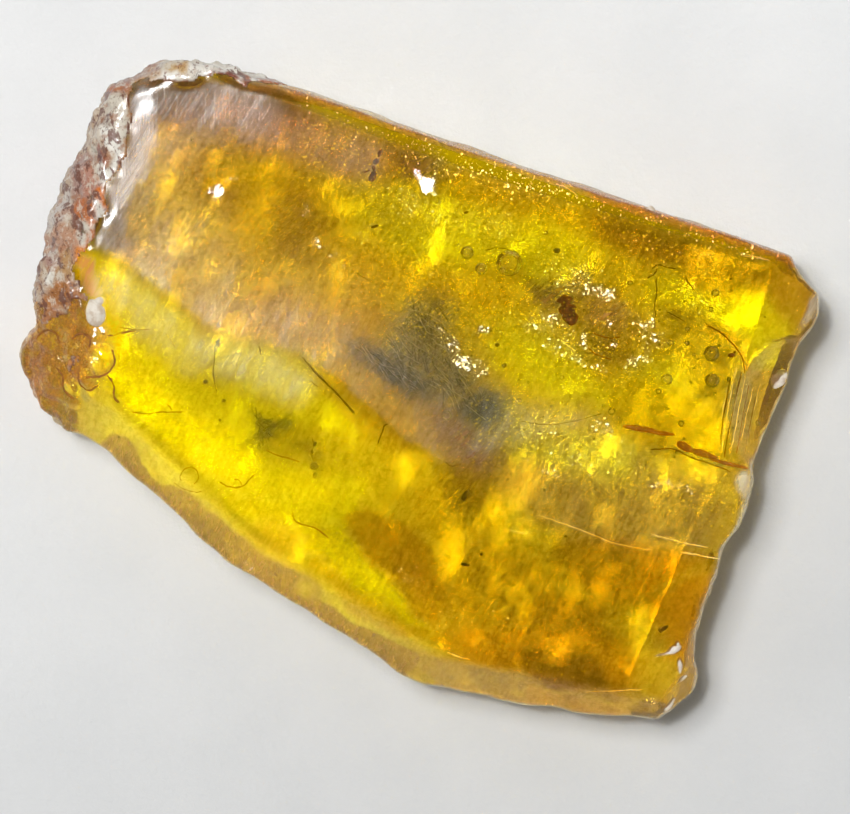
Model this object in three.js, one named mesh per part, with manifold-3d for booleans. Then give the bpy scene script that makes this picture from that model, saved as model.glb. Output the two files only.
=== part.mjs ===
// Raw amber: one flat lump of fossil resin with a ground and polished top, a
// sawn long edge, a broken right-hand end and its weathered skin on the left.
// It is a single natural solid, so the whole piece is one mesh.
//
// Units are millimetres, +Z is up. The piece lies on its flat underside, and
// the origin is on that plane, below the middle of its outline.

import * as THREE from 'three';
import { mergeVertices } from 'three/addons/utils/BufferGeometryUtils.js';
import Module from 'manifold-3d';

// ---------------------------------------------------------------- dimensions

const THICKNESS = 8.4;              // resting plane to the level part of the top
const EDGE_STEP = 0.75;             // longest facet along the outline
const HEART = [-1.0, 0.5];          // the point that the walls lean towards
const MERGE_DISTANCE = 1e-4;

// How far the wall stands inside the outline at each height, as seen from
// above: rounded under at the foot, fullest a little above the middle.
const WALL = [
  { height: 0.0, inset: 1.25 },
  { height: 0.7, inset: 0.62 },
  { height: 1.8, inset: 0.27 },
  { height: 3.2, inset: 0.08 },
  { height: 4.7, inset: 0.0 },
  { height: 6.4, inset: 0.1 },
  { height: THICKNESS, inset: 0.38 },
];
const WALL_WOBBLE = 0.1;            // unevenness of the wall between foot and rim

// The outline, anticlockwise, one list for each stretch of edge. A stretch ends
// where the next one starts.
const SAWN_EDGE = [[17.9, 7.05], [11.0, 9.35], [5.0, 11.35], [-1.0, 13.45], [-6.0, 15.15], [-11.3, 16.45]];
const SKIN_EDGE = [
  [-11.3, 16.45], [-12.1, 16.25], [-12.9, 16.42], [-14.0, 16.0], [-15.1, 15.35], [-15.9, 14.7],
  [-16.45, 13.6], [-16.75, 12.4], [-17.35, 11.5], [-17.9, 10.4], [-18.5, 9.0], [-18.9, 7.5],
  [-19.15, 6.0], [-19.4, 4.6], [-19.35, 3.2],
];
const CRUST_CORNER = [[-19.35, 3.2], [-20.02, 2.2], [-20.02, 1.3], [-19.55, 0.0], [-18.5, -1.5], [-17.9, -2.05]];
const LOWER_EDGE = [
  [-17.9, -2.05], [-17.0, -2.25], [-15.9, -3.05], [-14.6, -4.25], [-13.0, -5.65], [-12.0, -6.6],
  [-10.9, -7.7], [-9.9, -8.6], [-5.0, -11.65], [-2.6, -13.1], [-1.2, -14.15], [-0.3, -14.65],
];
const FRONT_EDGE = [[-0.3, -14.65], [0.8, -14.95], [4.0, -15.6], [7.5, -16.15], [11.9, -16.6]];
const CHIPPED_CORNER = [
  [11.9, -16.6], [12.35, -16.15], [13.1, -15.75], [13.65, -15.2], [13.85, -14.4], [13.7, -13.4], [13.8, -12.3],
];
const BROKEN_END = [
  [13.8, -12.3], [14.2, -10.9], [14.9, -9.3], [15.1, -8.1], [15.9, -6.95], [16.45, -5.75],
  [16.75, -4.5], [16.6, -3.85], [17.1, -2.6], [17.75, -1.0], [18.4, 0.55], [18.75, 1.8],
  [19.45, 2.95], [19.95, 3.8], [19.98, 4.8], [19.35, 5.5], [18.95, 6.0], [18.55, 6.8], [17.9, 7.05],
];

// Flat facets on the top. Each plane passes through `at` and falls away towards
// `azimuth` (degrees from +X) at `slope` degrees. The natural skin slopes down to
// the left; the rest was ground, sawn or cleaved through skin and resin alike.
const SKIN_FACETS = [
  { name: 'skin slope, side', at: [-16.2, 9.0, 8.3], azimuth: 163, slope: 52 },
  { name: 'skin slope, corner', at: [-13.6, 14.9, 8.3], azimuth: 118, slope: 56 },
  { name: 'skin slope, sawn edge', at: [-11.0, 15.7, 8.3], azimuth: 78, slope: 55 },
  { name: 'crust slope', at: [-16.2, 0.9, 7.5], azimuth: 202, slope: 38 },
];
const GROUND_FACETS = [
  { name: 'level top', at: [0, 0, THICKNESS], azimuth: 0, slope: 0 },
  { name: 'clear window', at: [-10.0, 2.7, THICKNESS], azimuth: 234, slope: 7.5 },
  { name: 'front half', at: [4.0, -3.0, THICKNESS], azimuth: 285, slope: 4.5 },
  { name: 'right shoulder', at: [12.5, 4.0, THICKNESS], azimuth: 352, slope: 8 },
  { name: 'sawn edge', at: [5.0, 11.36, 4.2], azimuth: 71.2, slope: 87 },
  { name: 'sawn edge arris', at: [5.0, 10.85, THICKNESS], azimuth: 71.2, slope: 40 },
  { name: 'lower bevel, left', at: [-12.1, -3.9, 7.6], azimuth: 227, slope: 50 },
  { name: 'lower bevel, right', at: [-5.0, -9.6, 7.45], azimuth: 238, slope: 50 },
  { name: 'front bevel', at: [6.0, -14.45, 7.35], azimuth: 260, slope: 52 },
  { name: 'corner fall', at: [12.6, -14.4, 7.4], azimuth: 322, slope: 48 },
];

// Facets under the piece, rising towards `azimuth` from the flat resting face.
const UNDER_FACETS = [
  { name: 'under skin', at: [-16.2, 7.5, 0.0], azimuth: 165, slope: 38 },
  { name: 'under lower edge', at: [-9.5, -5.6, 0.0], azimuth: 231, slope: 24 },
  { name: 'under front edge', at: [5.5, -13.6, 0.0], azimuth: 261, slope: 30 },
  { name: 'under broken end', at: [16.2, 1.5, 0.0], azimuth: 345, slope: 34 },
  { name: 'under lower right', at: [13.2, -8.0, 0.0], azimuth: 337, slope: 30 },
];
const CUTTER_WIDTH = 90;
const CUTTER_DEPTH = 20;

// Shell-shaped scars where flakes broke away: centre, half-axes and turn about Z.
const SCARS = [
  { name: 'long scar above the break', at: [18.6, -0.9, 11.2], radii: [3.9, 5.2, 5.4], turn: -20 },
  { name: 'chip on the break', at: [19.35, 0.55, 7.4], radii: [1.6, 1.25, 1.7], turn: -22 },
  { name: 'nick beside the knob', at: [20.1, 6.7, 6.2], radii: [1.35, 1.3, 2.6], turn: 20 },
  { name: 'flake below the notch', at: [17.4, -6.3, 8.9], radii: [1.8, 2.6, 2.7], turn: -24 },
  { name: 'corner flake', at: [14.6, -13.5, 8.6], radii: [1.7, 2.3, 2.4], turn: 12 },
  { name: 'front corner flake', at: [13.9, -16.6, 5.4], radii: [1.5, 1.3, 3.2], turn: -35 },
  { name: 'chip in the sawn arris', at: [11.6, 9.9, 9.0], radii: [0.85, 0.8, 1.1], turn: 0 },
  { name: 'hollow in the front bevel', at: [8.6, -18.2, 9.6], radii: [4.6, 3.0, 3.4], turn: 6 },
  { name: 'hollow in the lower wall', at: [-16.0, -9.9, 1.6], radii: [6.0, 6.0, 4.6], turn: 0 },
  { name: 'hollow in the front wall', at: [3.6, -20.9, 1.4], radii: [7.0, 6.0, 4.4], turn: 0 },
  { name: 'hollow in the broken wall', at: [22.5, -3.7, 2.0], radii: [6.0, 6.6, 4.2], turn: -20 },
  { name: 'second hollow in the broken wall', at: [19.3, -12.0, 1.6], radii: [5.6, 5.4, 4.4], turn: -20 },
];
const SCAR_DETAIL = 4;

// Lens-shaped swellings of weathered crust on the skin: place and radius. Each
// one lies along the facet that it swells out of.
const NODULES = [
  [-9.2, 15.7, 0.8], [-10.7, 15.7, 1.2], [-12.6, 15.4, 1.5], [-14.5, 14.8, 1.2], [-15.5, 13.2, 1.6],
  [-15.5, 11.4, 1.2], [-16.9, 10.3, 1.4], [-16.2, 8.7, 1.0], [-17.7, 8.1, 1.5], [-17.0, 6.6, 1.2],
  [-18.2, 6.0, 1.4], [-17.4, 4.6, 1.3], [-18.5, 3.8, 1.2], [-16.8, 3.0, 1.4], [-18.6, 1.9, 1.4],
  [-17.2, 1.4, 1.2], [-15.9, 1.7, 1.0], [-18.2, 0.2, 1.3], [-16.7, 0.1, 1.1], [-17.4, -1.1, 1.0],
];
const NODULE_DETAIL = 2;
const NODULE_THICKNESS = 0.34;      // half-thickness of a swelling, as a share of its radius
const NODULE_SUNK = 0.1;            // depth of its centre, as a share of its radius

// ------------------------------------------------------------------- outline

function stretchOfEdge(points) {
  const path = [];
  for (let i = 0; i + 1 < points.length; i += 1) {
    const start = new THREE.Vector2(...points[i]);
    const end = new THREE.Vector2(...points[i + 1]);
    const steps = Math.ceil(start.distanceTo(end) / EDGE_STEP);
    for (let step = 0; step < steps; step += 1) {
      path.push(start.clone().lerp(end, step / steps));
    }
  }
  return path;
}

function outline() {
  const stretches = [SAWN_EDGE, SKIN_EDGE, CRUST_CORNER, LOWER_EDGE, FRONT_EDGE, CHIPPED_CORNER, BROKEN_END];
  return stretches.flatMap(stretchOfEdge);
}

// --------------------------------------------------------------- basic solid

function towardsHeart(point, inset) {
  const heart = new THREE.Vector2(...HEART);
  const arm = heart.clone().sub(point);
  return point.clone().add(arm.setLength(inset));
}

function wobble(point, height) {
  const wave = Math.sin(point.x * 1.7 + height * 1.3) * Math.cos(point.y * 1.9 - height * 0.9);
  const fade = Math.sin((height / THICKNESS) * Math.PI);
  return WALL_WOBBLE * (1 + wave) * fade;
}

function slabGeometry() {
  const rim = outline();
  const count = rim.length;
  const positions = [];
  const triangles = [];
  for (const { height, inset } of WALL) {
    for (const point of rim) {
      const place = towardsHeart(point, inset + wobble(point, height));
      positions.push(place.x, place.y, height);
    }
  }
  for (let row = 0; row + 1 < WALL.length; row += 1) {
    for (let i = 0; i < count; i += 1) {
      const next = (i + 1) % count;
      const a = row * count + i;
      const b = row * count + next;
      triangles.push(a, b, b + count, a, b + count, a + count);
    }
  }
  const foot = positions.length / 3;
  const crown = foot + 1;
  const lastRow = (WALL.length - 1) * count;
  positions.push(...HEART, 0, ...HEART, THICKNESS);
  for (let i = 0; i < count; i += 1) {
    const next = (i + 1) % count;
    triangles.push(foot, next, i);
    triangles.push(crown, lastRow + i, lastRow + next);
  }
  const geometry = new THREE.BufferGeometry();
  geometry.setAttribute('position', new THREE.Float32BufferAttribute(positions, 3));
  geometry.setIndex(triangles);
  return geometry;
}

// ------------------------------------------------------------ cutting shapes

function facetNormal({ azimuth, slope }, side) {
  const turn = THREE.MathUtils.degToRad(azimuth);
  const tilt = THREE.MathUtils.degToRad(slope);
  return new THREE.Vector3(
    Math.sin(tilt) * Math.cos(turn),
    Math.sin(tilt) * Math.sin(turn),
    side * Math.cos(tilt),
  );
}

function facetHeight({ at, azimuth, slope }, x, y) {
  const turn = THREE.MathUtils.degToRad(azimuth);
  const run = (x - at[0]) * Math.cos(turn) + (y - at[1]) * Math.sin(turn);
  return at[2] - run * Math.tan(THREE.MathUtils.degToRad(slope));
}

function layAgainst(geometry, normal, centre) {
  const up = new THREE.Vector3(0, 0, 1);
  geometry.applyQuaternion(new THREE.Quaternion().setFromUnitVectors(up, normal));
  geometry.translate(centre.x, centre.y, centre.z);
  return geometry;
}

function facetCutter(facet, side) {
  const normal = facetNormal(facet, side);
  const geometry = new THREE.BoxGeometry(CUTTER_WIDTH, CUTTER_WIDTH, CUTTER_DEPTH);
  const centre = new THREE.Vector3(...facet.at).addScaledVector(normal, CUTTER_DEPTH / 2);
  return layAgainst(geometry, normal, centre);
}

function scarCutter({ at, radii, turn }) {
  const geometry = new THREE.IcosahedronGeometry(1, SCAR_DETAIL);
  geometry.scale(...radii);
  geometry.rotateZ(THREE.MathUtils.degToRad(turn));
  geometry.translate(...at);
  return geometry;
}

function noduleGeometry([x, y, radius]) {
  const heights = SKIN_FACETS.map((facet) => facetHeight(facet, x, y));
  const skin = Math.min(...heights);
  const normal = facetNormal(SKIN_FACETS[heights.indexOf(skin)], 1);
  const geometry = new THREE.IcosahedronGeometry(1, NODULE_DETAIL);
  geometry.scale(radius, radius, radius * NODULE_THICKNESS);
  const centre = new THREE.Vector3(x, y, skin).addScaledVector(normal, -radius * NODULE_SUNK);
  return layAgainst(geometry, normal, centre);
}

// ------------------------------------------------------------------ booleans

const wasm = await Module();
wasm.setup();

function toSolid(geometry) {
  geometry.deleteAttribute('normal');
  geometry.deleteAttribute('uv');
  const merged = mergeVertices(geometry, MERGE_DISTANCE);
  const mesh = new wasm.Mesh({
    numProp: 3,
    vertProperties: new Float32Array(merged.attributes.position.array),
    triVerts: new Uint32Array(merged.index.array),
  });
  return new wasm.Manifold(mesh);
}

function toGeometry(solid) {
  const mesh = solid.getMesh();
  const geometry = new THREE.BufferGeometry();
  geometry.setAttribute('position', new THREE.Float32BufferAttribute(mesh.vertProperties, 3));
  geometry.setIndex(new THREE.Uint32BufferAttribute(mesh.triVerts, 1));
  return geometry;
}

function cutFacets(solid, facets, side) {
  return facets.reduce((rest, facet) => rest.subtract(toSolid(facetCutter(facet, side))), solid);
}

function amberSolid() {
  let solid = cutFacets(toSolid(slabGeometry()), SKIN_FACETS, 1);
  for (const nodule of NODULES) {
    solid = solid.add(toSolid(noduleGeometry(nodule)));
  }
  solid = cutFacets(solid, GROUND_FACETS, 1);
  solid = cutFacets(solid, UNDER_FACETS, -1);
  for (const scar of SCARS) {
    solid = solid.subtract(toSolid(scarCutter(scar)));
  }
  return solid;
}

// ------------------------------------------------------------------ the part

function amberPiece() {
  const geometry = toGeometry(amberSolid());
  geometry.computeBoundingBox();
  const middle = geometry.boundingBox.getCenter(new THREE.Vector3());
  geometry.translate(-middle.x, -middle.y, -geometry.boundingBox.min.z);
  geometry.computeVertexNormals();
  const resin = new THREE.MeshStandardMaterial({ color: 0xd9a514, roughness: 0.15, metalness: 0 });
  const mesh = new THREE.Mesh(geometry, resin);
  mesh.name = 'amber_piece';
  return mesh;
}

const part = new THREE.Group();
part.add(amberPiece());

export default part;
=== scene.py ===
import math
import random

import bpy
import numpy as np
from mathutils import Euler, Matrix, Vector, noise


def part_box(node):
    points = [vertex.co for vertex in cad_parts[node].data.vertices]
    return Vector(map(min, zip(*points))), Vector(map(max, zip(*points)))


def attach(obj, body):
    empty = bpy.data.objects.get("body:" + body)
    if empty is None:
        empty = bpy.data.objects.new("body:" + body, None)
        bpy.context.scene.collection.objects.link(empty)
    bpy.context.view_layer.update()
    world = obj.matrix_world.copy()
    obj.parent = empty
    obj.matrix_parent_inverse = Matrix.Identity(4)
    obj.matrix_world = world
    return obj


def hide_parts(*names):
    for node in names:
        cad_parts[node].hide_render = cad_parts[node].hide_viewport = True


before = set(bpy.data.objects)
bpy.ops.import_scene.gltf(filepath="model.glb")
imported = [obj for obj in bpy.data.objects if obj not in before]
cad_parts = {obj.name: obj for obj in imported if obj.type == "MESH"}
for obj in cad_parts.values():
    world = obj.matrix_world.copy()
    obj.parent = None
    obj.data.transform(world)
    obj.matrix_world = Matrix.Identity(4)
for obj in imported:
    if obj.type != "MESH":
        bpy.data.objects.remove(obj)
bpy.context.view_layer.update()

# Raw amber: a lump of clear fossil resin with a ground and polished top, a sawn
# long edge, a broken right-hand end and weathered skin on the left. Places are
# written in millimetres from the middle of the outline, +Y towards the sawn edge.
MM = 0.001
TOP = (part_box("amber_piece")[1] / MM).z    # height of the level part of the top

UNSTRETCHED = (1.0, 1.0, 1.0)
WHITE = (1.0, 1.0, 1.0, 1.0)
BLACK = (0.0, 0.0, 0.0, 1.0)


# ------------------------------------------------------------------ shader kit


class Value:
    """A shader socket. Sums written on it add the Math nodes that work them out."""

    def __init__(self, paint, socket):
        self.paint = paint
        self.socket = socket

    def _maths(self, operation, *values):
        sockets = dict(enumerate(values))
        return self.paint.node("ShaderNodeMath", {"operation": operation}, sockets)

    def __add__(self, other):
        return self._maths("ADD", self, other)

    __radd__ = __add__

    def __sub__(self, other):
        return self._maths("SUBTRACT", self, other)

    def __rsub__(self, other):
        return self._maths("SUBTRACT", other, self)

    def __mul__(self, other):
        return self._maths("MULTIPLY", self, other)

    __rmul__ = __mul__

    def above(self, level, soft):
        """0 below the level and 1 above it, with a soft step between."""
        ends = {"Value": self, "From Min": level - soft, "From Max": level + soft}
        return self.paint.node("ShaderNodeMapRange", {"interpolation_type": "SMOOTHSTEP"}, ends)

    def clipped(self):
        return self.paint.node("ShaderNodeClamp", None, {"Value": self})


class Paint:
    """One material, built node by node."""

    def __init__(self, name):
        self.material = bpy.data.materials.new(name)
        self.material.use_nodes = True
        self.tree = self.material.node_tree
        self.tree.nodes.clear()

    def node(self, kind, settings=None, sockets=None, output=0):
        """Adds a node: its settings first, then the values or links of its sockets."""
        made = self.tree.nodes.new(kind)
        for name, setting in (settings or {}).items():
            setattr(made, name, setting)
        for name, value in (sockets or {}).items():
            if isinstance(value, Value):
                self.tree.links.new(value.socket, made.inputs[name])
            else:
                made.inputs[name].default_value = value
        return Value(self, made.outputs[output]) if made.outputs else None

    def place(self, turn=0.0, stretch=UNSTRETCHED):
        """The piece's own coordinates in millimetres, turned about Z and then stretched."""
        here = self.node("ShaderNodeTexCoord", output="Object")
        sockets = {"Vector": here, "Rotation": (0.0, 0.0, math.radians(-turn))}
        turned = self.node("ShaderNodeMapping", {"vector_type": "POINT"}, sockets)
        sockets = {"Vector": turned, "Scale": tuple(s / MM for s in stretch)}
        return self.node("ShaderNodeMapping", {"vector_type": "POINT"}, sockets)

    def clouds(self, size, detail=3.0, turn=0.0, stretch=UNSTRETCHED, roughness=0.5):
        """Soft noise, 0 to 1, with blotches of about this size in millimetres."""
        where = self.place(turn, stretch)
        sockets = {"Vector": where, "Scale": 1.0 / size, "Detail": detail, "Roughness": roughness}
        return self.node("ShaderNodeTexNoise", None, sockets)

    def brushed(self, layer):
        """The colour of a layer that was brushed on the mesh."""
        return self.node("ShaderNodeAttribute", {"attribute_name": layer}, None, "Color")

    def channel(self, layer, part):
        """One part of a brushed layer: 0 is its red, 1 its green and 2 its blue."""
        return self.node("ShaderNodeSeparateColor", None, {0: self.brushed(layer)}, part)

    def blend(self, factor, first, second, how="MIX"):
        """The first colour where the factor is 0, and the second one where it is 1."""
        settings = {"data_type": "RGBA", "blend_type": how}
        return self.node("ShaderNodeMix", settings, {0: factor, 6: first, 7: second}, 2)

    def tinted(self, factor, colour, tint):
        """The colour, multiplied by the tint where the factor is 1."""
        return self.blend(factor, colour, tint, "MULTIPLY")

    def bump(self, height, distance):
        """Relief that is this many millimetres deep where the height runs from 0 to 1."""
        sockets = {"Height": height, "Distance": distance * MM, "Strength": 1.0}
        return self.node("ShaderNodeBump", None, sockets)

    def principled(self, **sockets):
        named = {name.replace("_", " "): value for name, value in sockets.items()}
        return self.node("ShaderNodeBsdfPrincipled", None, named)

    def mix_shaders(self, factor, first, second):
        return self.node("ShaderNodeMixShader", None, {0: factor, 1: first, 2: second})

    def finish(self, surface, volume=None):
        sockets = {"Surface": surface}
        if volume:
            sockets["Volume"] = volume
        self.node("ShaderNodeOutputMaterial", None, sockets)
        return self.material


def linear(level):
    """One channel of a colour, 0 to 255 as the eye judges it, as a share of light."""
    share = level / 255.0
    return share / 12.92 if share < 0.04045 else ((share + 0.055) / 1.055) ** 2.4


def rgb(red, green, blue):
    """A colour from its three levels, 0 to 255."""
    return (linear(red), linear(green), linear(blue), 1.0)


# ------------------------------------------------------------------- mesh kit


def pick(piece):
    """Selects this piece alone."""
    if bpy.context.mode != "OBJECT":
        bpy.ops.object.mode_set(mode="OBJECT")
    bpy.ops.object.select_all(action="DESELECT")
    piece.select_set(True)
    bpy.context.view_layer.objects.active = piece


def modify(piece, kind, **settings):
    """Puts a modifier on the piece and applies it."""
    pick(piece)
    made = piece.modifiers.new(kind.title(), kind)
    for name, setting in settings.items():
        setattr(made, name, setting)
    bpy.ops.object.modifier_apply(modifier=made.name)


def vectors_of(piece, what="co"):
    """The places or the normals of a piece's points, one row each."""
    flat = np.zeros(len(piece.data.vertices) * 3)
    piece.data.vertices.foreach_get(what, flat)
    return flat.reshape(-1, 3)


def move_points(piece, points):
    """Puts the piece's points at these places, in millimetres."""
    piece.data.vertices.foreach_set("co", (points * MM).ravel())
    piece.data.update()


SEED_SHIFT = (7.3, 3.1, 11.9)          # how far each new seed moves along the noise
NOISE_REACH = 1.6                      # stretches the noise to about -1 to 1


def ripple(points, size, seed=0.0, stretch=UNSTRETCHED):
    """Smooth noise, about -1 to 1, at every point, in waves of this size in millimetres."""
    scale = np.array(stretch) / size
    shift = seed * np.array(SEED_SHIFT)
    return np.array([noise.noise(Vector(p)) for p in points * scale + shift]) * NOISE_REACH


def ease(x):
    """0 below 0, 1 above 1, and a soft step between."""
    x = np.clip(x, 0.0, 1.0)
    return x * x * (3.0 - 2.0 * x)


def from_path(points, path):
    """Distance of every point from a line of points, in plan view."""
    nearest = np.full(len(points), 1e9)
    flat = points[:, :2]
    for start, end in zip(np.array(path[:-1], float), np.array(path[1:], float)):
        arm = end - start
        share = np.clip((flat - start) @ arm / max(arm @ arm, 1e-12), 0.0, 1.0)
        gap = np.linalg.norm(flat - start - share[:, None] * arm, axis=1)
        nearest = np.minimum(nearest, gap)
    return nearest


def cut_away(piece, parts, kind, doomed):
    """Deletes the marked points or faces of a piece."""
    pick(piece)
    bpy.ops.object.mode_set(mode="EDIT")
    bpy.ops.mesh.select_mode(type="VERT")
    bpy.ops.mesh.select_all(action="DESELECT")
    bpy.ops.object.mode_set(mode="OBJECT")
    parts.foreach_set("select", doomed)
    bpy.ops.object.mode_set(mode="EDIT")
    bpy.ops.mesh.select_mode(type=kind)
    bpy.ops.mesh.delete(type=kind)
    bpy.ops.object.mode_set(mode="OBJECT")


def into_outline(points, outline):
    """Distance of every point inside a closed outline, negative outside it."""
    closed = list(outline) + [outline[0]]
    inside = np.zeros(len(points), bool)
    x, y = points[:, 0], points[:, 1]
    for (ax, ay), (bx, by) in zip(closed[:-1], closed[1:]):
        crossing = (ay > y) != (by > y)
        reach = (bx - ax) * (y - ay) / ((by - ay) or 1e-12) + ax
        inside ^= crossing & (x < reach)
    gap = from_path(points, closed)
    return np.where(inside, gap, -gap)


SIDEWAYS_DRIFT = 0.55                  # how far colours wander for each millimetre down a side
DRIFT_DEPTH = 6.0                      # deeper than this they wander no further
DRIFT_SIZE = 2.6


class Brush:
    """Lays colours on a piece's points, seen from above, in named layers.

    Shake moves the borders of the strokes to and fro by about this much.
    """

    def __init__(self, piece, shake, shake_size):
        self.piece = piece
        self.points = vectors_of(piece) / MM
        self.normals = vectors_of(piece, "normal")
        self.layers = {}
        self.shaken = self.points.copy()
        below = np.clip(TOP - self.points[:, 2], 0.0, DRIFT_DEPTH) * SIDEWAYS_DRIFT
        below *= ease((self.normals[:, 2] + 0.6) / 0.3)    # not on the underside
        for axis in (0, 1):
            self.shaken[:, axis] += ripple(self.points, shake_size, 1.0 + axis) * shake
            self.shaken[:, axis] += ripple(self.points, DRIFT_SIZE, 4.0 + axis) * below

    def prime(self, layer, colour):
        """Starts a layer, with this colour all over."""
        self.layers[layer] = np.tile(np.array(colour[:3], float), (len(self.points), 1))

    def lay(self, layer, weight, colour):
        """Covers the layer with the colour, as far as the weight of each point says."""
        old = self.layers[layer]
        self.layers[layer] = old + (np.array(colour[:3]) - old) * weight[:, None]

    def stroke(self, layer, path, width, soft, colour, strength=1.0, where=1.0):
        """A band along a path: full inside half its width, then fading over the soft part."""
        gap = from_path(self.shaken, path)
        weight = ease(1.0 - (gap - width / 2) / soft) * strength * where
        self.lay(layer, weight, colour)

    def patch(self, layer, outline, soft, colour, strength=1.0, where=1.0):
        """A filled outline, whose border fades over the soft part."""
        depth = into_outline(self.shaken, outline)
        weight = ease(depth / soft + 0.5) * strength * where
        self.lay(layer, weight, colour)

    def store(self):
        """Writes the layers on the mesh, as colour attributes."""
        for name, values in self.layers.items():
            made = self.piece.data.color_attributes.new(name, "FLOAT_COLOR", "POINT")
            full = np.ones((len(values), 4))
            full[:, :3] = values
            made.data.foreach_set("color", full.ravel())


# ------------------------------------------------------------------- the body

VOXEL = 0.18
SMOOTHING = 5

# outlines and lines in plan that both the shape and the colours follow
RIND_BORDER = [
    (-6.4, 15.35), (-7.6, 15.3), (-8.3, 15.45), (-8.8, 15.15), (-9.4, 15.5), (-10.1, 15.8), (-11.0, 15.45),
    (-12.0, 15.3), (-13.0, 15.4), (-13.9, 15.55), (-14.4, 15.1), (-14.5, 14.4), (-14.25, 13.6), (-14.5, 12.6),
    (-14.65, 11.7), (-15.0, 10.9), (-15.6, 10.3), (-15.6, 9.6), (-15.5, 9.0), (-16.0, 8.3), (-16.3, 7.3),
    (-16.9, 6.9), (-17.3, 6.1), (-16.9, 5.4), (-16.5, 4.4), (-16.2, 3.4), (-16.4, 2.5), (-16.9, 2.1),
    (-16.8, 1.2), (-16.5, 0.4), (-17.0, -0.4), (-17.7, -1.0), (-18.3, -1.9),
]
SKIN_OUTLINE = RIND_BORDER + [(-25.0, -2.5), (-25.0, 22.0), (-6.0, 22.0)]
SCAR_BAND = [(16.2, 2.2), (16.1, 0.6), (15.8, -1.5), (15.5, -3.6)]
FRONT_BEVEL = [(0.0, -14.3), (4.0, -15.1), (8.0, -15.6), (12.0, -15.7)]
SPARKLING_DENTS = [((-14.0, 14.4), 0.7), ((-0.1, 10.5), 0.9), ((-10.3, 10.1), 0.45)]
CRUST_CORNER = [
    (-20.8, 4.6), (-18.6, 5.0), (-17.2, 5.0), (-16.5, 4.2), (-15.6, 3.0), (-15.2, 1.6), (-16.0, 0.4),
    (-17.2, -1.0), (-18.6, -2.4), (-21.0, -2.0),
]
CLEAR_DOME = ((-15.95, 1.6), 0.75, 0.20)   # its middle, radius and height


def body_copy(name):
    """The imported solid, its loose triangles merged, as a new object."""
    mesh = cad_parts["amber_piece"].data.copy()
    copy = bpy.data.objects.new(name, mesh)
    bpy.context.scene.collection.objects.link(copy)
    copy.data.materials.clear()
    pick(copy)
    bpy.ops.object.mode_set(mode="EDIT")
    bpy.ops.mesh.select_all(action="SELECT")
    bpy.ops.mesh.remove_doubles(threshold=0.001 * MM)
    bpy.ops.object.mode_set(mode="OBJECT")
    return copy


def carve_relief(piece):
    """Waves of the ground top, hollows of the rough underside, ripples of the breaks."""
    points = vectors_of(piece) / MM
    normals = vectors_of(piece, "normal")
    up = ease((normals[:, 2] - 0.5) / 0.3)
    down = ease((-normals[:, 2] - 0.5) / 0.3)
    side = 1.0 - up - down
    foot = ease((points[:, 2] - 0.25) / 0.6)
    skin = ease(into_outline(points, SKIN_OUTLINE) / 0.6 + 0.5)
    broken = ease((points[:, 0] - 11.5) / 2.0)

    # each wave: where it is, its height and length in millimetres, its seed and its stretch
    out = -down * 0.03 * ease(0.5 + 0.9 * ripple(points, 2.6, 3.0))       # hollows of the underside
    for where, height, *wave in (
        (up * (1.0 - skin), 0.010, 3.2),                                  # the ground top
        (down, -0.008, 0.9, 3.5),
        (side * foot * (1.0 - broken), 0.05, 1.5, 4.0, (1.0, 1.0, 0.4)),  # the sawn edge and the bevels
        (side * foot * broken, 0.06, 1.1, 5.0, (0.5, 1.0, 0.8)),          # the broken end
        (side * foot * broken, 0.03, 0.5, 5.5, (0.5, 1.0, 0.8)),
        (skin * foot, 0.07, 0.55, 6.0),                                   # the weathered side
        (skin * foot, 0.12, 1.3, 7.0),
    ):
        out += where * height * ripple(points, *wave)

    # ridges across the scar and shell-like waves on the front bevel
    scar = ease(1.0 - from_path(points, SCAR_BAND) / 0.9)
    steps = np.sin((points[:, 0] * 0.97 - points[:, 1] * 0.24) * 11.0 + 1.5 * ripple(points, 2.0, 8.0))
    out += scar * up * 0.035 * steps
    front = ease(1.0 - from_path(points, FRONT_BEVEL) / 1.2)
    shells = np.sin((points[:, 0] * 0.62 + points[:, 1] * 0.78) * 6.5 + 2.0 * ripple(points, 2.4, 9.0))
    out += front * (1.0 - down) * foot * 0.03 * shells
    for place, radius in SPARKLING_DENTS:
        gap = np.linalg.norm(points[:, :2] - np.array(place), axis=1)
        out -= up * 0.06 * ease(1.0 - gap / radius)

    # the lumpy corner and the clear dome in it
    crust = ease(into_outline(points, CRUST_CORNER) / 0.8 + 0.4) * foot
    out += crust * (0.12 * ripple(points, 0.65, 15.0) + 0.08 * ripple(points, 1.2, 16.0))
    place, radius, height = CLEAR_DOME
    gap = np.linalg.norm(points[:, :2] - np.array(place), axis=1)
    out += up * height * np.sqrt(np.clip(1.0 - (gap / radius) ** 2, 0.0, 1.0))
    move_points(piece, points + normals * out[:, None])


body = body_copy("amber_body")
modify(body, "REMESH", mode="VOXEL", voxel_size=VOXEL * MM)
modify(body, "SMOOTH", factor=0.5, iterations=SMOOTHING)
carve_relief(body)
pick(body)
bpy.ops.object.shade_smooth()


# ------------------------------------------------- colours laid on the resin

CLEAR = (0.52, 0.495, 0.0070)           # what clear, untinted resin shows over white


def seen(red, green, blue):
    """The tint that makes clear resin look this colour over white."""
    wanted = rgb(red, green, blue)
    return tuple(min(1.0, w / c) for w, c in zip(wanted, CLEAR)) + (1.0,)


BODY_GOLD = seen(205, 168, 18)

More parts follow.
